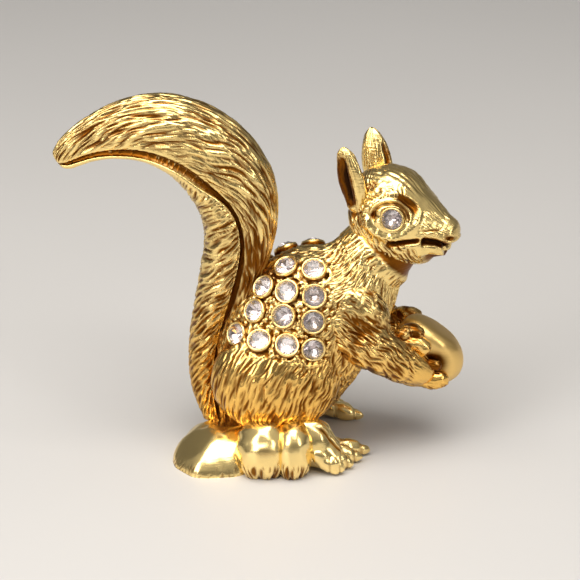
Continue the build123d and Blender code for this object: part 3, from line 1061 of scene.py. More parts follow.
@dataclass
class Torso:
    """Torso and haunches in one furred skin, with granular metal between the stones' cups.

    Attributes:
        base: X and Z of the underside's middle.
        run: Length forwards.
        rise: Height of the neck over the underside.
        depth: Largest section, back to belly.
        width: Largest section, side to side.
        shares: Run, rise, depth, width and lean in degrees of each section.
        haunch: Middle of the right haunch.
        haunch_radii: Its half sizes.
        haunch_cut_shares: Forward and upward shares of the main cuts on a haunch.
        chest_angle: Where the main cuts lie on the chest's sections, degrees.
        girth: Distance across the fur for each radian around.
        coat, tuft, fine: Strokes of the haunches, of back and chest, and fine ones between them.
        fur_depths: Depth of the strokes on the haunches and off them.
        grains: Granules round the cups.
        grain_depth: Depth between the granules.
        grain_zone: Distances from a stone's axis between which the granules give way to fur.
        moat: Distance from a stone's axis of the channel round its cup, which is carved and painted with
            shade.
        setting: Cup and pocket of each stone.
    """

    base: tuple[float, float] = (1.0, 6.0)
    run: float = 16.0
    rise: float = 24.5
    depth: float = 22.4
    width: float = 20.0
    shares: Array = table(
        (0.000, 0.000, 0.49, 0.50, 5),
        (0.050, 0.118, 0.79, 0.82, 15),
        (0.150, 0.335, 0.98, 1.00, 24),
        (0.363, 0.567, 1.00, 0.98, 37),
        (0.619, 0.776, 0.82, 0.84, 44),
        (0.875, 0.865, 0.635, 0.66, 46),
        (1.000, 1.000, 0.535, 0.56, 46),
    )
    haunch: Triple = (2.12, -7.0, 13.35)
    haunch_radii: Triple = (9.7, 5.5, 8.6)
    haunch_cut_shares: tuple[tuple[float, float], ...] = (
        (-0.62, 0.06), (-0.20, 0.06), (0.22, 0.06), (0.62, 0.06),
        (-0.41, -0.52), (0.00, -0.56), (0.42, -0.52),
    )
    chest_angle: float = -68.0
    girth: float = 9.5
    coat: Gouges = Gouges(3.3, 0.62, 0.4, 11)
    fine: Gouges = Gouges(2.0, 0.46, 0.7, 23)
    tuft: Gouges = Gouges(1.9, 0.80, 1.8, 37)
    fur_depths: tuple[float, float] = (0.36, 0.50)
    grains: Grains = Grains(0.62, 5)
    grain_depth: float = 0.42
    grain_zone: tuple[float, float] = (2.5, 3.3)
    moat: float = 2.08
    setting: Setting = Setting((
        (1.46, -0.50), (1.97, -0.85), (1.91, -0.40), (1.83, -0.06),
        (1.76, 0.06), (1.67, 0.09), (1.57, 0.05), (1.47, -0.06),
    ), count=48, depth=1.5, inner=1.58, outer=1.88)

    def spine(self) -> Array:
        """Middles of the sections on the median plane."""
        x = self.base[0] + self.shares[:, 0] * self.run
        return median(x, self.base[1] + self.shares[:, 1] * self.rise)

    def back_way(self, lean: Array) -> Array:
        """Direction from a section's middle to the back: level and rearward at a lean of 0 degrees."""
        return median(-np.cos(np.radians(lean)), np.sin(np.radians(lean)))

    def locks(self) -> list[Lock]:
        """Main cuts: upright ones on the haunches and ones along the chest, on both sides.

        Returns:
            The cuts.
        """
        made = []
        radii = np.array(self.haunch_radii)
        c, s = cos_sin(self.chest_angle)
        for side in Side:
            middle = np.array(self.haunch) * np.array([1.0, -side.value, 1.0])
            for run, rise in self.haunch_cut_shares:
                share = np.array([run, side.value * math.sqrt(1 - run**2 - rise**2), rise])
                out = unit(share / radii)
                made.append(lock_at(middle + share * radii, out, UPRIGHT - out[2] * out))
            for centre, row in zip(self.spine()[2:5], self.shares[2:5]):
                back = self.back_way(row[4])
                across, behind = side.value * c * SIDEWAYS, s * back
                half_wide, half_deep = row[3] * self.width / 2, row[2] * self.depth / 2
                place = centre + across * half_wide + behind * half_deep
                made.append(lock_at(place, across / half_wide + behind / half_deep, np.cross(SIDEWAYS, back)))
        return made

    def form(self) -> tuple[Array, Array, Array, Array]:
        """Rays from the spine meet the section's ellipse and both haunch eggs; the furthest hit is rounded.

        Returns:
            Points, distance along the spine, angle around it, and where the haunches are.
        """
        rows, count = 210, 430
        s = self.shares
        knots = run_of(self.spine())
        at = np.linspace(0, knots[-1], rows)
        half = [s[:, 2] * self.depth / 2, s[:, 3] * self.width / 2]
        data = curve_through(knots, np.column_stack([self.spine(), *half, s[:, 4]]), at)
        centre = data[:, None, :3]
        turn = around(count)
        way = rays(turn, SIDEWAYS, self.back_way(data[:, 5])[:, None])
        trunk = ellipse(turn, data[:, 4:5], data[:, 3:4])
        radii = np.array(self.haunch_radii)
        legs = np.zeros(trunk.shape)
        for side in Side:
            middle = np.array(self.haunch) * np.array([1.0, -side.value, 1.0])
            legs = np.maximum(legs, far_root((centre - middle) / radii, way / radii))
        reach = soft_max(trunk, legs, 1.2)
        return centre + way * reach[..., None], at[:, None] + 0 * turn, turn, legs - trunk > 0.1

    def skin(self, seats: list[Seat]) -> Shell:
        """The form with strokes along the fur, granules near the cups and pockets behind the stones.

        Args:
            seats: Seats of the flank stones.

        Returns:
            The carved skin.
        """
        points, along, turn, on_haunch = self.form()
        side = np.sign(np.cos(turn))
        across = turn * self.girth + 0 * along
        fine = self.fine.cut(along, across)
        calm = 1 - 0.45 * step(-points[..., 2], -10.0, -6.5)
        coat = np.maximum(self.coat.cut(along, across, -0.06 * side), 0.6 * fine) * calm
        tuft = np.maximum(self.tuft.cut(along, across, 0.35 * side), 0.65 * fine)
        near = np.full(along.shape, 99.0)
        for seat in seats:
            away, height = seat.reach(points)
            near = np.where(np.abs(height) < 3.0, np.minimum(near, away), near)
        furred = step(near, *self.grain_zone)
        moat = bell(near - self.moat, 0.15)
        gaps = 1 - self.grains.rise(points[..., 0] + 200 * np.sign(points[..., 1]), points[..., 2])
        fur = np.where(on_haunch, coat, tuft) * furred
        cut = deepest_cut(self.locks(), points) * furred
        depth = np.maximum(np.where(on_haunch, *self.fur_depths) * fur, cut)
        depth = depth + (1 - furred) * self.grain_depth * gaps
        depth = depth + 0.10 * dents(along, across, (2.6, 2.2), 57) + 0.08 * moat
        # Painted shade in the strokes and main cuts, between the granules and in the moat round each cup
        groove = np.clip(np.maximum(fur, cut) + (1 - furred) * (0.85 * gaps + 0.25 * moat), 0, 1)
        shell = Shell(points, groove, np.stack([along, across], -1)).carved(depth)
        return replace(shell, points=self.setting.sunk(shell.points, seats))

    def build(self, seats: list[Seat], gold: Material, smooth: Material) -> None:
        """Adds the furred body and the cups of the flank stones.

        Args:
            seats: Seats of the flank stones.
            gold: Furred finish.
            smooth: Polished finish.
        """
        add_piece("body_skin", [self.skin(seats)], gold, Slot.FUR, "body")
        add_piece("flank_cups", self.setting.rings(seats), smooth, Slot.SMOOTH)


@dataclass
class Tail:
    """Arched brush of a front lobe and a rear lobe with a crevice between them, carved and painted with
    shade.

    Attributes:
        root: X and Z of the root.
        reach: How far back the tip is from the root.
        height: Height of the arch over the root.
        width: Largest section, front to back.
        depth: Largest section, side to side.
        swell: How far the lobes overlap.
        rear_depth: Side to side share of the rear lobe.
        shares: Run, rise, width and rear cover of each section.
        tip_rows: Rows over the last three sections.
        front_girth, rear_girth: Distance across each lobe's fur for each radian around.
        barb_turn: How far the rear lobe's strokes turn from its spine, degrees.
        brush, fine: Strokes of the front lobe, and fine ones between them.
        barbs, fine_barbs: Slanting strokes of the rear lobe, and fine ones between them.
        strip: Strokes of the rear lobe's narrow strip over the arch.
        fur_depth: Depth of the strokes.
    """

    root: tuple[float, float] = (-6.4, 4.4)
    reach: float = 24.0
    height: float = 46.2
    width: float = 13.0
    depth: float = 10.4
    swell: float = 1.16
    rear_depth: float = 0.86
    shares: Array = table(
        (0.000, 0.000, 0.40, 0.50),
        (0.030, 0.130, 0.58, 0.52),
        (0.018, 0.253, 0.65, 0.54),
        (-0.025, 0.377, 0.69, 0.58),
        (-0.080, 0.498, 0.74, 0.60),
        (-0.132, 0.621, 0.82, 0.56),
        (-0.134, 0.745, 0.95, 0.45),
        (-0.035, 0.866, 1.00, 0.31),
        (0.165, 0.963, 0.93, 0.23),
        (0.395, 1.000, 0.80, 0.20),
        (0.628, 0.987, 0.63, 0.21),
        (0.800, 0.950, 0.47, 0.25),
        (0.895, 0.918, 0.38, 0.29),
        (0.942, 0.899, 0.31, 0.34),
        (0.966, 0.889, 0.20, 0.40),
        (0.974, 0.886, 0.00, 0.40),
    )
    tip_rows: int = 46
    front_girth: float = 5.6
    rear_girth: float = 5.0
    barb_turn: float = 54.0
    brush: Gouges = Gouges(3.5, 0.88, 0.8, 41)
    fine: Gouges = Gouges(2.3, 0.50, 0.9, 43)
    barbs: Gouges = Gouges(3.2, 0.85, 0.8, 47)
    fine_barbs: Gouges = Gouges(2.0, 0.50, 0.8, 49)
    strip: Gouges = Gouges(4.0, 0.70, 0.4, 51)
    fur_depth: float = 0.54

    def spine(self) -> Array:
        """Middles of the sections on the median plane."""
        x = self.root[0] - self.shares[:, 0] * self.reach
        return median(x, self.root[1] + self.shares[:, 1] * self.height)

    def locks(self) -> list[Lock]:
        """Main cuts: slanted ones on both lobes, at the sections where the CAD has them.

        Returns:
            The cuts.
        """
        spine = self.spine()
        front = [(k, False, a) for k in range(5, 12) for a in ((-55.0, 0.0), (-28.0, 24.0))[k % 2]]
        behind = [(k, True, a) for k in range(1, 6) for a in ((8.0, 58.0), (32.0,))[k % 2]]
        made = []
        for k, rear, angle in front + behind:
            size, cover = self.shares[k, 2], self.shares[k, 3]
            ahead = unit(spine[k + 1] - spine[k - 1])
            back = np.cross(ahead, SIDEWAYS)
            half = size * self.width / 2
            wide = (cover if rear else 1 - cover) * self.swell * half
            deep = (self.rear_depth if rear else 1.0) * size * self.depth / 2
            middle = spine[k] + back * (half - wide if rear else wide - half)
            for side in Side:
                c, s = cos_sin(angle)
                across, aft = side.value * c * SIDEWAYS, s * back
                place, out = middle + across * deep + aft * wide, across / deep + aft / wide
                made.append(lock_at(place, out, ahead, side.value * (56.0 if rear else -10.0)))
        return made

    def lobe_reaches(self, turn: Array, size: Array, cover: Array) -> list[Array]:
        """Lengths of rays from the spine to where they last leave each lobe's ellipse.

        Args:
            turn: Angles of the rays, a quarter turn being rearward.
            size: Size share of each row.
            cover: Rear lobe's share of each row.

        Returns:
            Ray lengths to the front and to the rear lobe.
        """
        way = np.stack([np.cos(turn) + 0 * size, np.sin(turn) + 0 * size], -1)
        found = []
        for share, side, deep in ((1 - cover, -1.0, 1.0), (cover, 1.0, self.rear_depth)):
            half = share * self.swell * size * self.width / 2
            radii = np.stack([deep * size * self.depth / 2, half], -1)
            middle = np.stack([0 * half, side * (size * self.width / 2 - half)], -1)
            found.append(far_root(-middle / radii + 0 * way, way / radii))
        return found

    def spread(self, size: Array, cover: Array, count: int) -> tuple[Array, Array]:
        """Angles around, stretched on each row so that one column on each side runs along the crease.

        Args:
            size: Size share of each row.
            cover: Rear lobe's share of each row.
            count: Points around.

        Returns:
            The angles, and how far from the rear each row has its crease, radians.
        """
        front, behind = self.lobe_reaches(np.pi / 2 + np.linspace(0, np.pi, 1441)[None], size, cover)
        edge = np.pi * (behind > front).mean(1, keepdims=True)
        even = around(count) - np.pi
        fixed = round(edge.mean() * count / (2 * np.pi)) * 2 * np.pi / count
        off = np.abs(even)
        beyond = edge + (off - fixed) * (np.pi - edge) / (np.pi - fixed)
        return np.pi / 2 + np.sign(even) * np.where(off < fixed, off * edge / fixed, beyond), edge

    def skin(self) -> Shell:
        """Rays from the spine meet the two lobes' ellipses; the further hit is kept and given strokes.

        Returns:
            The carved skin.
        """
        rows, count = 270, 300
        knots = run_of(self.spine())
        at = np.linspace(0, knots[-1], rows)
        at = np.concatenate([at[at < knots[-4]], np.linspace(knots[-4], knots[-1], self.tip_rows)])
        size = round_ended(knots, self.shares[:, 2:3], at)
        data = curve_through(knots, np.column_stack([self.spine(), self.shares[:, 3]]), at)
        ahead = unit(np.gradient(data[:, :3], at, axis=0))
        turn, edge = self.spread(size, data[:, 3:4], count)
        way = rays(turn, SIDEWAYS, median(-ahead[:, 2], ahead[:, 0])[:, None])
        reach = np.maximum(*self.lobe_reaches(turn, size, data[:, 3:4]))
        points = data[:, None, :3] + way * reach[..., None]

        at = at[:, None]
        along = at + 0 * turn
        from_front, from_rear = wrapped(turn + np.pi / 2), wrapped(turn - np.pi / 2)
        gap = (np.abs(from_rear) - edge) * reach
        rear = step(-gap, -0.10, 0.10)
        arch, rim = step(at, 34.0, 44.0), step(at, 40.0, 52.0)

        off = np.abs(from_front)
        across = from_front * self.front_girth * np.sqrt(size) + 0 * along
        swirl = 0.40 * step(off, 0.5, 1.7) + 0.50 * bell(at - 37.0, 9.0) * step(off, 0.1, 0.9)
        slant = np.sign(from_front) * swirl
        brush = np.maximum(self.brush.cut(along, across, slant), 0.65 * self.fine.cut(along, across, slant))

        c, s = cos_sin(self.barb_turn)
        out = np.abs(from_rear) * self.rear_girth + 0 * along
        barb_along = along * c + out * s + 400.0 * (from_rear > 0)
        barb_across = out * c - along * s
        fine_barbs = self.fine_barbs.cut(barb_along, barb_across)
        barbs = np.maximum(self.barbs.cut(barb_along, barb_across), 0.55 * fine_barbs)
        strip = 0.25 * self.strip.cut(along, from_rear * self.rear_girth + 0 * along)

        clear = 1 - 0.95 * (1 - step(np.abs(gap), 0.12 + 0.08 * arch, 0.45 + 0.65 * arch))
        fur = (brush * (1 - rear) + (barbs * (1 - rim) + strip * rim) * rear) * clear
        crevice = bell(gap, 0.12 - 0.04 * arch)
        cut = deepest_cut(self.locks(), points)
        depth = np.maximum(self.fur_depth * fur, cut) + (0.80 - 0.45 * arch) * crevice
        depth = depth + 0.14 * dents(along, across, (3.4, 2.3), 55) * (1 - rear) * clear
        ends = between(at, 0.0, 1.5, knots[-1] - 1.0, knots[-1]) * np.minimum(1.0, size / 0.4)
        # Painted shade on the lower front lobe, and in the strokes, main cuts and crevice
        shade = 0.30 * (1 - step(at, 22.0, 38.0)) * (1 - rear)
        groove = np.clip(np.maximum(fur, cut) + shade + (1.3 - 0.4 * arch) * crevice, 0, 1.15)
        slanted = (gap < 0) & (rim < 0.5)
        comb = np.stack([np.where(slanted, barb_along, along), np.where(slanted, barb_across, across)], -1)
        return Shell(points, groove, comb).carved(depth * ends)

    def build(self, gold: Material) -> None:
        """Adds the furred tail."""
        add_piece("tail_skin", [self.skin()], gold, Slot.FUR, "tail")


@dataclass
class Head:
    """Head with neck, ears, lids, cheeks and mouth, turned to its right.

    Attributes:
        torso: What the neck stands on.
        reach: How far the head's middle is in front of the neck face.
        lift: How far it is above it.
        turn: Turn about Z, degrees.
        length: Length.
        height: Largest height.
        width: Largest width.
        shares: Place along, middle's height, height and width of each section.
        eye: Place along and height of the right eye's middle in the head's frame.
        eye_radii: Half sizes of the eye's orbit.
        lip: Place along and height of points on the line of the mouth.
        girth: Distance across the hair for each radian around.
        mane: Strokes of cheek, jaw and back of the head.
        lashes: Strokes round the eye.
        hair: Strokes along the crown and the nose.
        cuts: Depth of each mark of the face; less than 0 raises it.
        shades: Painted shade that each mark adds.
        darks: Painted shade of the deep marks, of which the darkest counts.
        ear_size: Width, thickness and height of an ear.
        ear_root_shares: Root of the left ear as shares of the head's length, width and height.
        ear_lean, ear_splay, ear_face: How an ear leans, stands off and faces with its hollow, degrees.
        ear_shares: Height, width and thickness of each ear section.
        streaks: Strokes on the ears.
        ruff: Strokes of the neck.
        setting: Lid and pocket of each eye stone.
    """

    torso: Torso
    reach: float = 3.8
    lift: float = 6.4
    turn: float = -25.0
    length: float = 18.4
    height: float = 15.2
    width: float = 12.4
    shares: Array = table(
        (-0.445, 0.075, 0.00, 0.00),
        (-0.430, 0.070, 0.26, 0.28),
        (-0.365, 0.040, 0.65, 0.70),
        (-0.160, 0.005, 0.99, 1.00),
        (0.045, -0.010, 0.96, 1.00),
        (0.237, -0.080, 0.72, 0.77),
        (0.390, -0.115, 0.52, 0.55),
        (0.475, -0.107, 0.42, 0.42),
        (0.515, -0.100, 0.32, 0.31),
        (0.535, -0.097, 0.17, 0.17),
        (0.541, -0.096, 0.00, 0.00),
    )
    eye: tuple[float, float] = (0.45, 1.5)
    eye_radii: tuple[float, float] = (3.0, 2.55)
    lip: Array = table((0.0, -2.75), (2.2, -2.35), (4.1, -1.85), (5.6, -1.40), (7.2, -1.40), (8.8, -1.80))
    girth: float = 5.4
    mane: Gouges = Gouges(1.7, 0.66, 1.4, 67)
    lashes: Gouges = Gouges(1.3, 0.55, 0.8, 63)
    hair: Gouges = Gouges(2.4, 0.60, 1.0, 61)
    cuts: dict[str, float] = field(default_factory=lambda: {
        "fur": 0.36, "moat": 0.42, "corner": 0.35, "notch": 0.70, "cheek_line": 0.95, "mouth": 1.5,
        "jaw": 0.60, "chin": 0.9, "pit": 0.9, "throat": 0.45, "nostril": 0.50, "wing": 0.16, "crease": 0.20,
        "stir": 0.07, "fine_stir": 0.03, "lid": -0.22, "bag": -0.34, "brow": -0.22, "jowl": -0.30,
    })
    shades: dict[str, float] = field(default_factory=lambda: {
        "fur": 0.9, "moat": 0.5, "corner": 0.6, "throat": 0.6, "crease": 0.5, "wing": 0.35,
    })
    darks: dict[str, float] = field(default_factory=lambda: {
        "mouth": 1.6, "cheek_line": 1.5, "notch": 1.3, "pit": 1.3, "nostril": 1.5,
    })
    ear_size: Triple = (5.2, 2.8, 8.1)
    ear_root_shares: Triple = (-0.30, 0.37, 0.217)
    ear_lean: float = -12.0
    ear_splay: float = -5.0
    ear_face: float = 122.0
    ear_shares: Array = table(
        (-0.30, 0.00, 0.00),
        (-0.26, 0.26, 0.50),
        (-0.12, 0.58, 0.84),
        (0.05, 0.84, 0.98),
        (0.30, 1.00, 1.00),
        (0.60, 0.88, 0.86),
        (0.85, 0.54, 0.58),
        (0.97, 0.22, 0.26),
        (1.00, 0.00, 0.00),
    )
    streaks: Gouges = Gouges(2.4, 0.50, 0.6, 83)
    ruff: Gouges = Gouges(2.4, 0.75, 0.9, 91)
    setting: Setting = Setting((
        (1.46, -0.50), (1.92, -1.10), (1.87, -0.45), (1.80, -0.08),
        (1.73, 0.05), (1.65, 0.08), (1.56, 0.04), (1.47, -0.08),
    ), count=56, depth=1.4, inner=1.56, outer=1.84)

    def neck(self) -> Array:
        """Middle of the neck face on the torso."""
        return self.torso.spine()[-1]

    def placing(self) -> Placing:
        """The head's own frame: X to the nose, Y to its left, Z up."""
        return turned(self.neck() + np.array([self.reach, 0.0, self.lift]), self.turn)

    def marks(self, x: Array, y: Array, z: Array, turn: Array) -> tuple[dict[str, Array], Array]:
        """Features of the face as masks: bells and smooth steps about the eye, the lip line and the snout.

        Args:
            x: Place towards the nose.
            y: Place to the left.
            z: Height.
            turn: Angle around the head.

        Returns:
            Share of each mark at each point, and the combing field.
        """
        other = np.sign(y)
        side = np.abs(y)
        flank = step(side, 1.6, 3.2)
        ahead, above = x - self.eye[0], z - self.eye[1]
        orbit = np.hypot(ahead / self.eye_radii[0], above / self.eye_radii[1])
        orbit = orbit + 0.05 * drift(x / 1.4, z / 1.4 + 20 * other, 59)
        bearing = np.arctan2(above, ahead)
        below = step(1.9 - z, 0.0, 1.4)
        lip = np.interp(x, *self.lip.T)
        marks = {
            "moat": bell(orbit - 0.84, 0.09) * flank * (1 - 0.80 * below),
            "lid": bell(orbit - 1.0, 0.08) * flank * (1 - 0.95 * below),
            "bag": bell(orbit - 1.22, 0.20) * below * flank,
            "brow": bell(orbit - 1.32, 0.14) * (1 - below) * flank,
            "corner": blot(x, z, (-1.9, 1.7), (0.8, 0.55)) * flank,
            "notch": bell(orbit - 1.18, 0.17) * bell(bearing - 0.80, 0.55) * flank,
            "pit": blot(x, z, (-6.0, 2.3), (1.1, 1.4)) * flank,
            "cheek_line": bell(z - lip, 0.40) * between(x, -0.3, 0.8, 4.3, 5.2),
            "mouth": bell(z - lip + 0.32, 0.58) * step(x, 4.9, 5.5),
            "jaw": step(lip - z, 0.35, 0.9) * step(x, 4.6, 6.2),
            "chin": step(lip - z, 0.1, 0.5) * step(x, 8.0, 8.7),
            "throat": step(-z, 4.1, 4.9) * step(x, 3.6, 6.0),
            "jowl": between(-z, 2.5, 3.2, 5.0, 5.6) * bell(x + 0.6, 3.6) * flank,
            "nostril": blot(x, z, (9.25, -0.65), (0.42, 0.30)) * step(side, 0.4, 0.8),
            "wing": blot(x, z, (8.55, -0.5), (0.4, 1.2)) * step(side, 0.8, 1.5),
            "crease": bell(z - 0.15 - 0.22 * (x - 6.2), 0.24) * between(x, 4.6, 5.6, 7.2, 8.0) * flank,
            "stir": drift(x / 1.1, z / 0.9 + 40 * other, 69) + 1,
            "fine_stir": drift(x / 0.45, z / 0.45 + 40 * other, 70) + 1,
        }
        along, across = -z + 0.45 * x, x + 0.45 * z
        apart = APART * (y > 0)
        coat = np.maximum(step(-z, 2.4, 3.4) * (1 - step(x, 3.2, 5.0)), step(-x, 2.6, 4.6))
        fringe = between(orbit, 1.12, 1.3, 1.6, 2.0) * flank * (1 - step(x, 1.6, 2.8))
        crown = 0.50 * step(z, 3.8, 5.6) + 0.30 * between(x, 4.0, 6.0, 7.5, 8.6)
        fur = coat * self.mane.cut(along + apart, across)
        lashes = self.lashes.cut(3.2 * (orbit - 1.0) + apart, bearing * 3.6, 0.35)
        fur = np.maximum(fur, 0.75 * fringe * lashes)
        fur = np.maximum(fur, crown * self.hair.cut(x, turn * self.girth + 0 * x))
        marks["fur"] = fur * (1 - 0.6 * marks["jaw"])
        comb = [np.where(coat > 0.3, along, x), np.where(coat > 0.3, across, turn * self.girth)]
        return marks, np.stack(comb, -1)

    def skull(self, seats: list[Seat]) -> Shell:
        """Rays square to the head's axis meet its sections; marks sink or raise them, and the muzzle droops.

        Args:
            seats: Seats of the eye stones.

        Returns:
            The carved skin in the figure's frame.
        """
        rows, count = 216, 280
        s = self.shares
        knots = s[:, 0] * self.length
        at = close_at_ends(knots[0], knots[-1], rows)
        mid = curve_through(knots, s[:, 1:2] * self.height, at)
        half = round_ended(knots, s[:, 2:] * [self.height, self.width] / 2, at, 1e-4)
        turn = around(count)
        reach = ellipse(turn, half[:, 1:], half[:, :1])
        x = at[:, None] + 0 * turn
        y, z = reach * np.cos(turn), mid + reach * np.sin(turn)
        marks, comb = self.marks(x, y, z, turn)
        depth = sum(deep * marks[name] for name, deep in self.cuts.items())
        # Painted shade: each shaded mark adds its share, and the darkest deep mark adds on top
        groove = sum(dark * marks[name] for name, dark in self.shades.items())
        groove = groove + np.max([dark * marks[name] for name, dark in self.darks.items()], axis=0)
        shell = Shell(np.stack([x, y, z], -1), np.clip(groove, 0, 1.6), comb).carved(depth)
        ahead = np.maximum(x - 2.0, 0.0)
        droop = median(0.010 * ahead**2, 0.05 * ahead**1.5)
        points = self.placing().out(shell.points - droop)
        return replace(shell, points=self.setting.sunk(points, seats))

    def ear(self, side: Side) -> Shell:
        """A leaf of ellipses along the ear's axis, pulled in on the outer face to leave a hollow with a rim.

        Args:
            side: Which ear.

        Returns:
            The shell in the figure's frame.
        """
        rows, count = 80, 96
        s = self.ear_shares
        at = close_at_ends(s[0, 0], s[-1, 0], rows)
        half = round_ended(s[:, 0], s[:, 1:] * self.ear_size[:2] / 2, at)
        turn = around(count)
        level = at[:, None]
        off = wrapped(turn - math.radians(self.ear_face))
        hollow = np.exp(-np.abs(off / 0.92) ** 3) * between(level, -0.16, 0.06, 0.68, 0.94)
        fold = bell(off + 2.30, 0.24) * between(level, 0.05, 0.25, 0.55, 0.85)
        reach = ellipse(turn, half[:, :1], half[:, 1:]) * (1 - 0.93 * hollow - 0.30 * fold)
        local = [reach * np.cos(turn), reach * np.sin(turn), level * self.ear_size[2] + 0 * turn]
        c, s = cos_sin(self.ear_lean)
        leaned = np.stack(local, -1) @ np.array([[c, 0, -s], [0, 1, 0], [s, 0, c]])
        c, s = cos_sin(self.ear_splay)
        splayed = leaned @ np.array([[1, 0, 0], [0, c, s], [0, -s, c]])
        root = np.array(self.ear_root_shares) * [self.length, self.width, self.height]
        streaks = self.streaks.cut(level * 8.0 + 0 * turn, turn * 2.2 + 0 * level)
        # Painted shadow in the ear's hollow and fold, and painted shade in its streaks
        dark = hollow * 1.9 * (1 - 0.5 * step(level, 0.50, 0.80)) + 0.7 * fold + 0.45 * streaks
        shell = Shell(splayed + root, np.clip(dark, 0, 1.7)).carved(0.12 * streaks * step(level, -0.2, 0.1))
        shell = shell if side is Side.LEFT else shell.mirrored()
        return replace(shell, points=self.placing().out(shell.points))

    def collar(self) -> Shell:
        """Furred neck: the torso's last ellipse carried from inside the shoulders to inside the skull.

        Returns:
            The shell.
        """
        rows, count = 60, 240
        _, _, deep, wide, lean = self.torso.shares[-1]
        back = self.torso.back_way(lean)
        at = np.linspace(-1.6, 6.0, rows)[:, None]
        turn = around(count)
        fur = self.ruff.cut(at + 0.2 * np.sin(3 * turn), turn * 5.6 + 0 * at) * (1 - step(at, 0.6, 1.6))
        swell = 1 - 0.16 * step(at, 0.0, 6.0) - 0.06 * fur - 0.10 * step(at, 0.8, 2.4)
        way = rays(turn, SIDEWAYS * wide * self.torso.width / 2, back * deep * self.torso.depth / 2)
        points = self.neck() + np.cross(SIDEWAYS, back) * at[..., None] + way * swell[..., None]
        # Painted shade in the ruff's strokes, and all over the part nearer the head
        return Shell(points, np.clip(fur + 0.75 * step(at, 0.9, 2.2), 0, 1))

    def build(self, seats: list[Seat], gold: Material, smooth: Material) -> None:
        """Adds the head's skin and the lids round the eye stones.

        Args:
            seats: Seats of the eye stones.
            gold: Furred finish.
            smooth: Polished finish.
        """
        shells = [self.skull(seats), self.ear(Side.LEFT), self.ear(Side.RIGHT), self.collar()]
        add_piece("head_skin", shells, gold, Slot.FUR, "head")
        add_piece("eye_lids", self.setting.rings(seats), smooth, Slot.SMOOTH)


@dataclass
class Nut:
    """Smooth nut between the paws.

    Attributes:
        centre: Middle.
        size: Length, width and height.
        tilt: How far its length points down, degrees.
        flat: Height of the flattened upper side over the middle.
        flat_lean: Lean of that side's normal from upright, degrees.
        held, held_radii, held_depth: X and Z of the hollow under the paws, carved and painted with shadow,
            its half sizes and its depth.
    """

    centre: Triple = (25.7, 0.0, 15.6)
    size: Triple = (12.4, 8.6, 9.4)
    tilt: float = 55.0
    flat: float = 3.6
    flat_lean: float = 34.0
    held: tuple[float, float] = (0.2, -0.9)
    held_radii: tuple[float, float] = (2.3, 1.9)
    held_depth: float = 0.75

    def placing(self) -> Placing:
        """The nut's own frame: X along it, downwards and away from the squirrel."""
        c, s = cos_sin(self.tilt)
        return Placing(np.array(self.centre), np.array([[c, 0.0, -s], [0.0, 1.0, 0.0], [s, 0.0, c]]))

    def build(self, satin: Material) -> None:
        """Adds the nut: an egg with broad flats, its upper side brought down softly to a sloping plane.

        Args:
            satin: Its finish.
        """
        half = np.array(self.size) / 2
        shell = egg_shell((0.0, 0.0, 0.0), tuple(half), 90, 120)
        along, across, up = np.moveaxis(shell.points / half, -1, 0)
        flats = 0.08 * (1 + np.cos(4 * np.arctan2(up, across) + 1.5 * along)) * (1 - along**2)
        x, y, z = np.moveaxis(shell.points @ self.placing().axes, -1, 0)
        held = blot(x, z, self.held, self.held_radii) * step(np.abs(y), 0.5, 2.0)
        # Painted shadow in the hollow under the paws
        shell.groove = np.clip(1.1 * held, 0, 1)
        shell = shell.carved(flats + self.held_depth * held + 0.10 * dents(x, z, (1.6, 1.6), 107))
        c, s = cos_sin(self.flat_lean)
        way = np.array([s, 0.0, c])
        points = pressed(self.placing().out(shell.points), way, way @ np.array(self.centre) + self.flat, 0.9)
        add_piece("nut_skin", [replace(shell, points=points)], satin, Slot.SMOOTH, "nut")


@dataclass(frozen=True)
class Finger:
    """One finger's course over the nut's side: X and Z of six places from the nut's middle.

    Attributes:
        ahead, up: X and Z of the places.
        thick, stand: Half thickness, and how far its back stands off the nut.
        shade: Painted shade of the whole finger.
    """

    ahead: tuple[float, ...]
    up: tuple[float, ...]
    thick: float
    stand: float
    shade: float


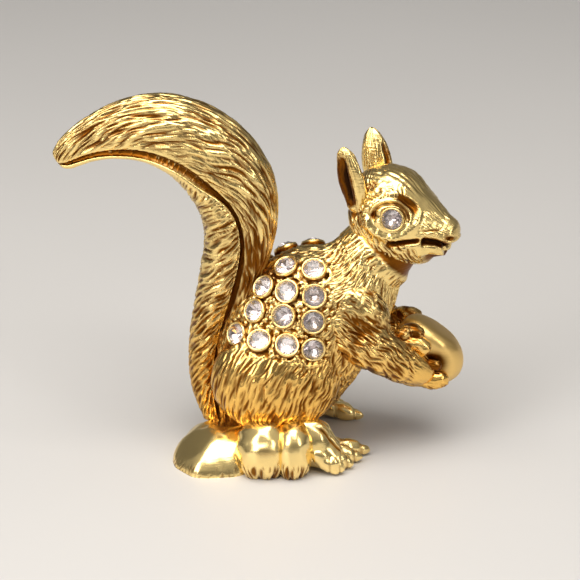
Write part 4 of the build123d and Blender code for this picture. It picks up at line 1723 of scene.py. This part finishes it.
@dataclass
class Foreleg:
    """Shoulder, forearm, paw and fingers of the right side; the left one is its mirror.

    Attributes:
        elbow: Start of the forearm.
        paw: Where the paw lies on the nut.
        thickness: Unit of the sections.
        sag: Unit of sag and bow.
        shares: Place along, sag, thickness and bow of each section.
        shoulder: Middle of the shoulder's egg.
        shoulder_radii: Its half sizes.
        fall: How far the fur's strokes point down, degrees.
        tuft, fine: Strokes of the fur, and fine ones between them.
        shaded, shaded_radii: X and Z of the hollow on the upper arm, carved and painted with shade, and its
            half sizes.
        fingers: The fingers, from the uppermost to the lowest.
        outmost: Least distance of a finger's six places from the median plane, to the right.
        stand_shares, thick_shares: How much of its stand-off and thickness a finger has at them.
        knuckles: Strokes on the fingers.
    """

    elbow: Triple = (12.8, -6.6, 21.0)
    paw: Triple = (23.344, -4.214, 14.66)
    thickness: float = 9.2
    sag: float = 9.0
    shares: Array = table(
        (-0.45, -0.10, 0.00, -0.12),
        (-0.20, -0.05, 0.40, -0.06),
        (0.00, 0.00, 0.62, 0.00),
        (0.22, 0.03, 0.82, 0.04),
        (0.52, 0.05, 0.76, 0.08),
        (0.80, 0.08, 0.68, 0.04),
        (1.02, 0.09, 0.56, 0.00),
        (1.16, 0.09, 0.36, 0.00),
        (1.23, 0.09, 0.16, 0.00),
        (1.25, 0.09, 0.00, 0.00),
    )
    shoulder: Triple = (13.6, -5.6, 22.4)
    shoulder_radii: Triple = (5.8, 3.0, 6.0)
    fall: float = 38.0
    tuft: Gouges = Gouges(2.2, 0.80, 1.6, 101)
    fine: Gouges = Gouges(1.5, 0.50, 1.4, 103)
    shaded: tuple[float, float] = (15.0, 22.0)
    shaded_radii: tuple[float, float] = (2.1, 1.8)
    fingers: tuple[Finger, ...] = (
        Finger((-5.6, -4.6, -3.6, -2.6, -1.8, -1.3), (3.0, 3.7, 4.0, 3.9, 3.5, 3.2), 1.45, 0.70, 0.25),
        Finger((-5.4, -4.2, -3.0, -1.8, -0.9, -0.4), (1.5, 2.1, 2.3, 2.1, 1.6, 1.3), 1.55, 0.85, 0.0),
        Finger((-3.2, -2.2, -1.1, 0.2, 1.0, 1.5), (-0.9, -0.95, -1.0, -1.05, -1.1, -1.15), 1.00, 0.0, 0.5),
        Finger((-5.2, -3.6, -1.8, 0.4, 1.9, 2.7), (-2.0, -2.9, -3.5, -3.7, -3.6, -3.4), 1.60, 0.70, 0.0),
    )
    outmost: Array = table(-3.7, -3.4, -2.6, 0.0, 0.0, 0.0)
    stand_shares: Array = table(0.3, 0.9, 1.0, 0.7, 0.3, 0.0)
    thick_shares: Array = table(0.8, 1.0, 1.0, 0.97, 0.80, 0.0)
    knuckles: Gouges = Gouges(1.5, 0.50, 0.9, 121)

    def skin(self) -> Shell:
        """Rays from the spine meet round sections and the shoulder's egg; the further hit is rounded.

        Returns:
            The carved skin.
        """
        rows, count = 150, 200
        s = self.shares
        elbow, paw = np.array(self.elbow), np.array(self.paw)
        hang = np.stack([0 * s[:, 0], s[:, 3] * self.sag, s[:, 1] * self.sag], -1)
        path = elbow + s[:, :1] * (paw - elbow) - hang
        knots = run_of(path)
        at = np.linspace(0, knots[-1], rows)
        spine = curve_through(knots, path, at)
        side, up = square_axes(spine, SIDEWAYS)
        turn = around(count)
        way = rays(turn, side[:, None], up[:, None])
        limb = round_ended(knots, s[:, 2:3] * self.thickness / 2, at) + 0 * turn
        radii = np.array(self.shoulder_radii)
        hump = far_root((spine[:, None] - np.array(self.shoulder)) / radii, way / radii)
        points = spine[:, None] + way * soft_max(limb, hump, 1.6)[..., None]
        x, y, z = np.moveaxis(points, -1, 0)
        c, s = cos_sin(self.fall)
        along = x * c - z * s + APART * (np.cos(turn) > 0)
        across = x * s + z * c + y * 0.6
        fur = np.maximum(self.tuft.cut(along, across), 0.6 * self.fine.cut(along, across))
        fur = fur * (1 - 0.85 * step(at[:, None] - knots[-1], -6.0, -3.6))
        # Painted shade in the strokes and in the hollow on the upper arm
        shade = blot(x, z, self.shaded, self.shaded_radii)
        groove = np.clip(fur * (1 + 0.5 * shade) + 0.35 * shade, 0, 1)
        depth = (0.36 + 0.25 * shade) * fur + 0.35 * shade + 0.10 * dents(along, across, (2.0, 1.8), 105)
        return Shell(points, groove, np.stack([along, across], -1)).carved(depth)

    def finger(self, finger: Finger, nut: Nut) -> Shell:
        """A bent tube from the paw over the nut's side, which it follows at its stand-off.

        Args:
            finger: Its course.
            nut: The nut that it holds.

        Returns:
            The carved tube.
        """
        half = np.array(nut.size) / 2
        course = median(np.array(finger.ahead), np.array(finger.up))
        rel = course @ nut.placing().axes.T / half
        on_nut = -half[1] * np.sqrt(np.maximum(1 - (rel**2).sum(-1), 0.10))
        course[:, 1] = np.minimum(on_nut, self.outmost) - finger.stand * self.stand_shares
        radii = self.thick_shares[:, None] * finger.thick * np.array([[1.0, 0.9]])
        shell = swept_shell(course + np.array(nut.centre), radii, UPRIGHT, 56, 44)
        x, y, z = np.moveaxis(shell.points, -1, 0)
        lumps = dents(x, z, (1.1, 1.1), 109)
        strokes = self.knuckles.cut(x - 0.4 * z, z + 0.4 * x + 0.5 * y)
        # Painted shade over the whole finger and in its strokes, varying with its dents
        dark = np.clip(finger.shade + 0.55 * strokes - 0.4 * (lumps - 1), 0, 1)
        return replace(shell.carved(0.10 * lumps + 0.12 * strokes), groove=dark)

    def build(self, nut: Nut, gold: Material) -> None:
        """Adds both forelegs.

        Args:
            nut: The nut they hold.
            gold: Furred finish.
        """
        shells = [self.skin(), *(self.finger(finger, nut) for finger in self.fingers)]
        add_piece("right_foreleg_skin", shells, gold, Slot.FUR, "right_foreleg")
        add_piece("left_foreleg_skin", [s.mirrored() for s in shells], gold, Slot.FUR, "left_foreleg")


@dataclass
class HindFoot:
    """Lower leg, foot and toes.

    Attributes:
        side: Which foot.
        heel: X and Y of the heel.
        swing: Turn about Z, degrees.
        length: Length of the foot.
        width: Width of the foot.
        height: Height of the ankle.
        shares: Place along, middle's height, height and width of each section.
        toes: How many toes.
        toe_start_share, toe_tip_share: Where along the foot the toes start, and where their length starts.
        toe_length: Mean length of the toes past that.
        toe_stagger: How much longer each toe is than the one inside it.
        toe_fan: Angle between toes, degrees.
        toe_lift: Height of six places along a toe.
        toe_thick: Half width of a toe at them.
        toe_height_share: A toe's height as a share of its width.
    """

    side: Side
    heel: tuple[float, float]
    swing: float = 4.0
    length: float = 13.2
    width: float = 7.0
    height: float = 8.8
    shares: Array = table(
        (-0.03, 0.18, 0.00, 0.00),
        (0.00, 0.20, 0.46, 0.50),
        (0.12, 0.38, 0.82, 0.80),
        (0.32, 0.47, 1.00, 0.90),
        (0.48, 0.35, 0.76, 0.96),
        (0.58, 0.27, 0.58, 1.00),
        (0.67, 0.20, 0.44, 0.98),
        (0.73, 0.17, 0.00, 0.00),
    )
    toes: int = 4
    toe_start_share: float = 0.34
    toe_tip_share: float = 0.45
    toe_length: float = 6.0
    toe_stagger: float = 1.5
    toe_fan: float = 7.0
    toe_lift: Array = table(3.9, 3.3, 2.3, 1.7, 1.15, 0.8)
    toe_thick: Array = table(0.7, 1.10, 1.22, 1.30, 1.05, 0.0)
    toe_height_share: float = 1.2

    def foot(self) -> Shell:
        """The lofted foot, with valleys that run between the toes.

        Returns:
            The shell in the foot's own frame.
        """
        s = self.shares
        path = median(s[:, 0] * self.length, s[:, 1] * self.height)
        radii = np.stack([s[:, 3] * self.width / 2, s[:, 2] * self.height / 2], -1)
        foot = swept_shell(path, radii, SIDEWAYS, 80, 110)
        x, y, _ = np.moveaxis(foot.points, -1, 0)
        lane = np.abs(y / (self.width / 2))
        valley = bell(np.abs(lane - 0.25) - 0.25, 0.09) * step(x / self.length, 0.36, 0.55)
        # Painted shade in the valleys between the toes
        foot.groove = 0.8 * valley
        return foot.carved(0.5 * valley + 0.24 * dents(x, y, (1.5, 1.3), 115))

    def toe(self, index: int) -> Shell:
        """A bent tube from the foot to the ground, with two knuckles.

        Args:
            index: Which toe, from the inner side.

        Returns:
            The shell in the foot's own frame.
        """
        lane = index - (self.toes - 1) / 2
        start = self.toe_start_share * self.length
        tip = self.toe_tip_share * self.length + self.toe_length + self.toe_stagger * lane
        run = np.linspace(start, tip, len(self.toe_lift))
        fan = (run - start - self.toe_length / 2) * math.tan(math.radians(self.toe_fan * lane)) * 0.8
        path = np.stack([run, lane * self.width / self.toes + fan, self.toe_lift], -1)
        radii = np.stack([self.toe_thick, self.toe_thick * self.toe_height_share], -1)
        toe = swept_shell(path, radii, SIDEWAYS, 48, 40)
        x, y, z = np.moveaxis(toe.points, -1, 0)
        share = (x - start) / (tip - start)
        knuckle = bell(share - 0.52, 0.05) + bell(share - 0.84, 0.04)
        # Painted shade in the knuckle creases
        toe.groove = 0.35 * knuckle
        return toe.carved(0.14 * knuckle + 0.12 * (drift(x / 1.0, y / 0.9 + z, 121 + index) + 1))

    def build(self, smooth: Material) -> None:
        """Adds the foot, flattened onto the ground.

        Args:
            smooth: Polished finish.
        """
        name = f"{self.side.name.lower()}_hind_foot"
        spot = turned((*self.heel, 0.0), self.swing)
        shells = [self.foot(), *(self.toe(index) for index in range(self.toes))]
        shells = [s if self.side is Side.RIGHT else s.mirrored() for s in shells]
        shells = [replace(s, points=spot.out(s.points)).grounded() for s in shells]
        add_piece(name + "_skin", shells, smooth, Slot.SMOOTH, name)


@dataclass
class Ground:
    """Polished ground piece: a low pad and a two-lobed nut beside the near foot.

    Attributes:
        pad: Middle of the pad on the ground.
        pad_radii: Half length, half width and height.
        pad_turn: Turn of its length about Z, degrees.
        pad_power: How square the pad is; 2 is an egg.
        pad_flats: Normal and depth in mm of each broad flat on the pad.
        pad_flutes: Strokes round the pad's foot.
        nut: Middle of the ground nut.
        nut_size: Length, width and height.
        nut_power: How square its lobes are.
        lobe_shares: Each lobe's length as a share of the nut's.
        lobe_radius_shares: Half length and half height of a lobe, of its length and the nut's height.
        lobe_flutes: Strokes round the lobes' foot.
    """

    pad: Triple = (-4.6, -4.9, 0.0)
    pad_radii: Triple = (10.0, 7.2, 6.0)
    pad_turn: float = 40.0
    pad_power: float = 2.3
    pad_flats: tuple[tuple[Triple, float], ...] = (((-0.60, -0.30, 0.72), 0.8), ((0.10, -0.75, 0.60), 0.35))
    pad_flutes: Gouges = Gouges(2.4, 1.1, 1.2, 119)
    nut: Triple = (2.1, -10.6, 3.634)
    nut_size: Triple = (11.6, 9.0, 7.9)
    nut_power: float = 2.03
    lobe_shares: tuple[float, float] = (0.70, 0.52)
    lobe_radius_shares: tuple[float, float] = (0.54, 0.66)
    lobe_flutes: Gouges = Gouges(2.8, 0.95, 1.0, 117)

    def squared_egg(self, centre: Triple, radii: Triple, power: float, rows: int, count: int) -> Shell:
        """An egg whose points go out along their rays until the sum of powered shares of the radii is one.

        Args:
            centre: Its middle.
            radii: Its half sizes.
            power: 2 leaves the egg as it is; more squares it.
            rows: Rows from pole to pole.
            count: Points around.

        Returns:
            The squared egg.
        """
        shell = egg_shell(centre, radii, rows, count)
        rel = (shell.points - np.array(centre)) / np.array(radii)
        size = (np.abs(rel) ** power).sum(-1, keepdims=True) ** (1 / power)
        return replace(shell, points=np.array(centre) + rel / size * np.array(radii))

    def low_pad(self) -> Shell:
        """The pad: a squared egg, dented, fluted at its foot, pressed into flats and cut off at the ground.

        Returns:
            The shell.
        """
        pad = self.squared_egg((0.0, 0.0, 0.0), self.pad_radii, self.pad_power, 120, 170)
        x, y, z = np.moveaxis(pad.points, -1, 0)
        dent = dents(x, y, (2.7, 2.7), 111)
        rim = self.pad_radii[0] * np.arctan2(y / self.pad_radii[1], x / self.pad_radii[0])
        flute = self.pad_flutes.cut(z, rim) * (1 - step(z, 1.4, 3.0))
        # Painted shade in the flutes, and darker patches where the dents are shallow
        pad.groove = np.clip(0.6 * flute + 0.35 * step(1 - dent, 0.25, 0.8), 0, 1)
        pad = pad.carved(0.30 * dent + 0.12 * dents(x, y, (1.2, 1.2), 112) + 0.10 * flute)
        points = turned(self.pad, self.pad_turn).out(pad.points)
        for way, cut in self.pad_flats:
            normal = unit(np.array(way))
            points = pressed(points, normal, (points @ normal).max() - cut, 0.9)
        return replace(pad, points=points).grounded()

    def lobe(self, end: int, share: float) -> Shell:
        """One lobe of the ground nut: a squared egg, hammered, fluted at its foot and cut off at the ground.

        Args:
            end: -1 for the rear end of the nut, 1 for the front one.
            share: The lobe's length as a share of the nut's.

        Returns:
            The shell.
        """
        length, width, height = self.nut_size
        centre = (self.nut[0] + end * (1 - share) * length / 2, self.nut[1], self.nut[2])
        half_share, height_share = self.lobe_radius_shares
        radii = (half_share * share * length, width / 2, height_share * height)
        egg = self.squared_egg(centre, radii, self.nut_power, 90, 130)
        x, y, z = np.moveaxis(egg.points, -1, 0)
        rim = 4.4 * np.arctan2((y - centre[1]) / radii[1], (x - centre[0]) / radii[0])
        flute = self.lobe_flutes.cut(z, rim) * (1 - step(z, 1.4, 3.4))
        hammer = dents(x, y + z, (1.9, 1.9), 113)
        # Painted shade in the flutes, and darker patches where the hammer dents are shallow
        egg.groove = np.clip(1.2 * flute + 0.25 * step(1 - hammer, 0.25, 0.8), 0, 1.2)
        return egg.carved(0.20 * hammer + 0.40 * flute).grounded()

    def build(self, smooth: Material) -> None:
        """Adds the ground piece.

        Args:
            smooth: Polished finish.
        """
        lobes = [self.lobe(end, share) for end, share in zip((-1, 1), self.lobe_shares)]
        add_piece("ground_skin", [self.low_pad(), *lobes], smooth, Slot.SMOOTH, "ground")


# Studio


@dataclass(frozen=True)
class Lamp:
    """A rectangular soft lamp: its place, what it aims at, its sides, its power in watts and its colour."""

    name: str
    place: Triple
    aim: Triple
    size: tuple[float, float]
    power: float
    colour: Triple


@dataclass
class Studio:
    """Floor, lamps, surroundings and camera.

    Attributes:
        target: What the camera looks at.
        distance: How far the camera is from it.
        elevation: Camera's height angle, degrees.
        frame: Width of the picture at the target.
        sensor: Width of the camera's sensor.
        floor_tints: Darkest and lightest colour of the floor.
        sky: Heights from straight down to straight up, and the surroundings' colours at them.
        sky_strength: Strength of the surroundings.
        lamps: The lamps.
    """

    target: Triple = (4.35, 0.0, 25.0)
    distance: float = 330.0
    elevation: float = 22.0
    frame: float = 87.0
    sensor: float = 36.0
    floor_tints: tuple[Triple, Triple] = ((0.55, 0.54, 0.53), (0.60, 0.59, 0.58))
    sky: tuple[tuple[float, Triple], ...] = (
        (0.0, (0.10, 0.095, 0.09)),
        (0.50, (0.16, 0.155, 0.15)),
        (0.60, (0.30, 0.29, 0.28)),
        (0.72, (0.62, 0.60, 0.58)),
        (1.0, (0.95, 0.93, 0.90)),
    )
    sky_strength: float = 0.55
    lamps: tuple[Lamp, ...] = (
        Lamp("ceiling", (-30, -150, 460), (0, 0, 20), (460, 360), 2.6, (1.0, 0.96, 0.90)),
        Lamp("side", (-330, -300, 250), (0, 0, 25), (220, 300), 1.1, (1.0, 0.97, 0.94)),
        Lamp("front", (380, -330, 240), (0, 0, 25), (120, 260), 0.45, (1.0, 0.97, 0.94)),
    )

    def floor(self) -> None:
        """A pale floor that curves up into a backdrop: straight, a quarter turn, then straight up."""
        # In metres
        half_width, front, start, radius, top = 3.0, -2.5, 0.75, 0.5, 3.0
        turn = np.linspace(0, np.pi / 2, 24)
        y = np.concatenate([[front], start + radius * np.sin(turn), [start + radius]])
        z = np.concatenate([[0.0], radius - radius * np.cos(turn), [top]])
        edges = [median(side * half_width + 0 * y, z) + y[:, None] * SIDEWAYS for side in (-1, 1)]
        i = 2 * np.arange(len(y) - 1)
        faces = np.stack([i, i + 1, i + 3, i + 2], -1)
        mesh = bpy.data.meshes.new("floor")
        mesh.from_pydata(np.stack(edges, 1).reshape(-1, 3).tolist(), [], faces.tolist())
        mesh.polygons.foreach_set("use_smooth", np.ones(len(faces), bool))
        material, g = new_material("pale_floor")
        g.surface({"Base Color": g.blend(g.noise(g.place(), 6.0, 2.0), *self.floor_tints), "Roughness": 0.45})
        mesh.materials.append(material)
        floor = bpy.data.objects.new("floor", mesh)
        bpy.context.scene.collection.objects.link(floor)

    def stand(self, name: str, data: bpy.types.ID, place: Array, aim: Array) -> bpy.types.Object:
        """Puts a lamp or camera at a place, looking along its -Z at the aim with +Y up.

        Args:
            name: The object's name.
            data: The lamp or camera.
            place: Where it is.
            aim: What it looks at.

        Returns:
            The object.
        """
        thing = bpy.data.objects.new(name, data)
        bpy.context.scene.collection.objects.link(thing)
        back = unit(place - aim)
        right = unit(np.cross(UPRIGHT, back))
        turn = np.eye(4)
        turn[:3] = np.stack([right, np.cross(back, right), back, place * MM], -1)
        thing.matrix_world = Matrix(turn.tolist())
        return thing

    def light(self, lamp: Lamp) -> None:
        """Adds a lamp.

        Args:
            lamp: What it is and where it stands.
        """
        data = bpy.data.lights.new(lamp.name, "AREA")
        data.shape, data.size, data.size_y = "RECTANGLE", lamp.size[0] * MM, lamp.size[1] * MM
        data.energy, data.color = lamp.power, lamp.colour
        self.stand(lamp.name, data, np.array(lamp.place), np.array(lamp.aim))

    def world(self) -> None:
        """Surroundings that go from a dim horizon to a bright ceiling."""
        world = bpy.data.worlds.new("studio")
        bpy.context.scene.world = world
        world.use_nodes = True
        g = Graph(world.node_tree)
        way = g.node("ShaderNodeTexCoord", out="Generated")
        height = g.node("ShaderNodeSeparateXYZ", None, {"Vector": way}, "Z")
        shade = g.node("ShaderNodeValToRGB", {"stops": self.sky}, {"Fac": height * 0.5 + 0.5})
        background = g.node("ShaderNodeBackground", None, {"Color": shade, "Strength": self.sky_strength})
        g.node("ShaderNodeOutputWorld", None, {"Surface": background})

    def camera(self) -> None:
        """The photograph's camera, to the figure's right and raised by its elevation."""
        data = bpy.data.cameras.new("camera")
        data.sensor_fit, data.sensor_width = "HORIZONTAL", self.sensor
        data.lens = self.sensor * self.distance / self.frame
        c, s = cos_sin(self.elevation)
        target = np.array(self.target)
        place = target + self.distance * np.array([0.0, -c, s])
        bpy.context.scene.camera = self.stand("camera", data, place, target)

    def build(self) -> None:
        """Sets the whole studio."""
        self.floor()
        self.world()
        for lamp in self.lamps:
            self.light(lamp)
        self.camera()
        bpy.context.scene.view_settings.view_transform = "Standard"


def main() -> None:
    """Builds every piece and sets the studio."""
    logging.basicConfig(level=logging.INFO, format="%(name)s %(message)s")
    gold, smooth = FUR_GOLD.material(), SMOOTH_GOLD.material()
    flank_nodes = [f"{side.name.lower()}_flank_stone_{n:02d}" for side in Side for n in range(1, 13)]
    eye_nodes = [f"{side.name.lower()}_eye_stone" for side in Side]
    flank = {node: seat_of(node) for node in flank_nodes}
    eyes = {node: seat_of(node) for node in eye_nodes}
    torso = Torso()
    torso.build(list(flank.values()), gold, smooth)
    Tail().build(gold)
    Head(torso).build(list(eyes.values()), gold, smooth)
    nut = Nut()
    nut.build(SATIN_GOLD.material())
    Foreleg().build(nut, gold)
    HindFoot(Side.RIGHT, (2.8, -9.6)).build(smooth)
    HindFoot(Side.LEFT, (1.7, 9.6)).build(smooth)
    Ground().build(smooth)
    Stones().build({**flank, **eyes})
    Studio().build()


if __name__ == "__main__":
    main()
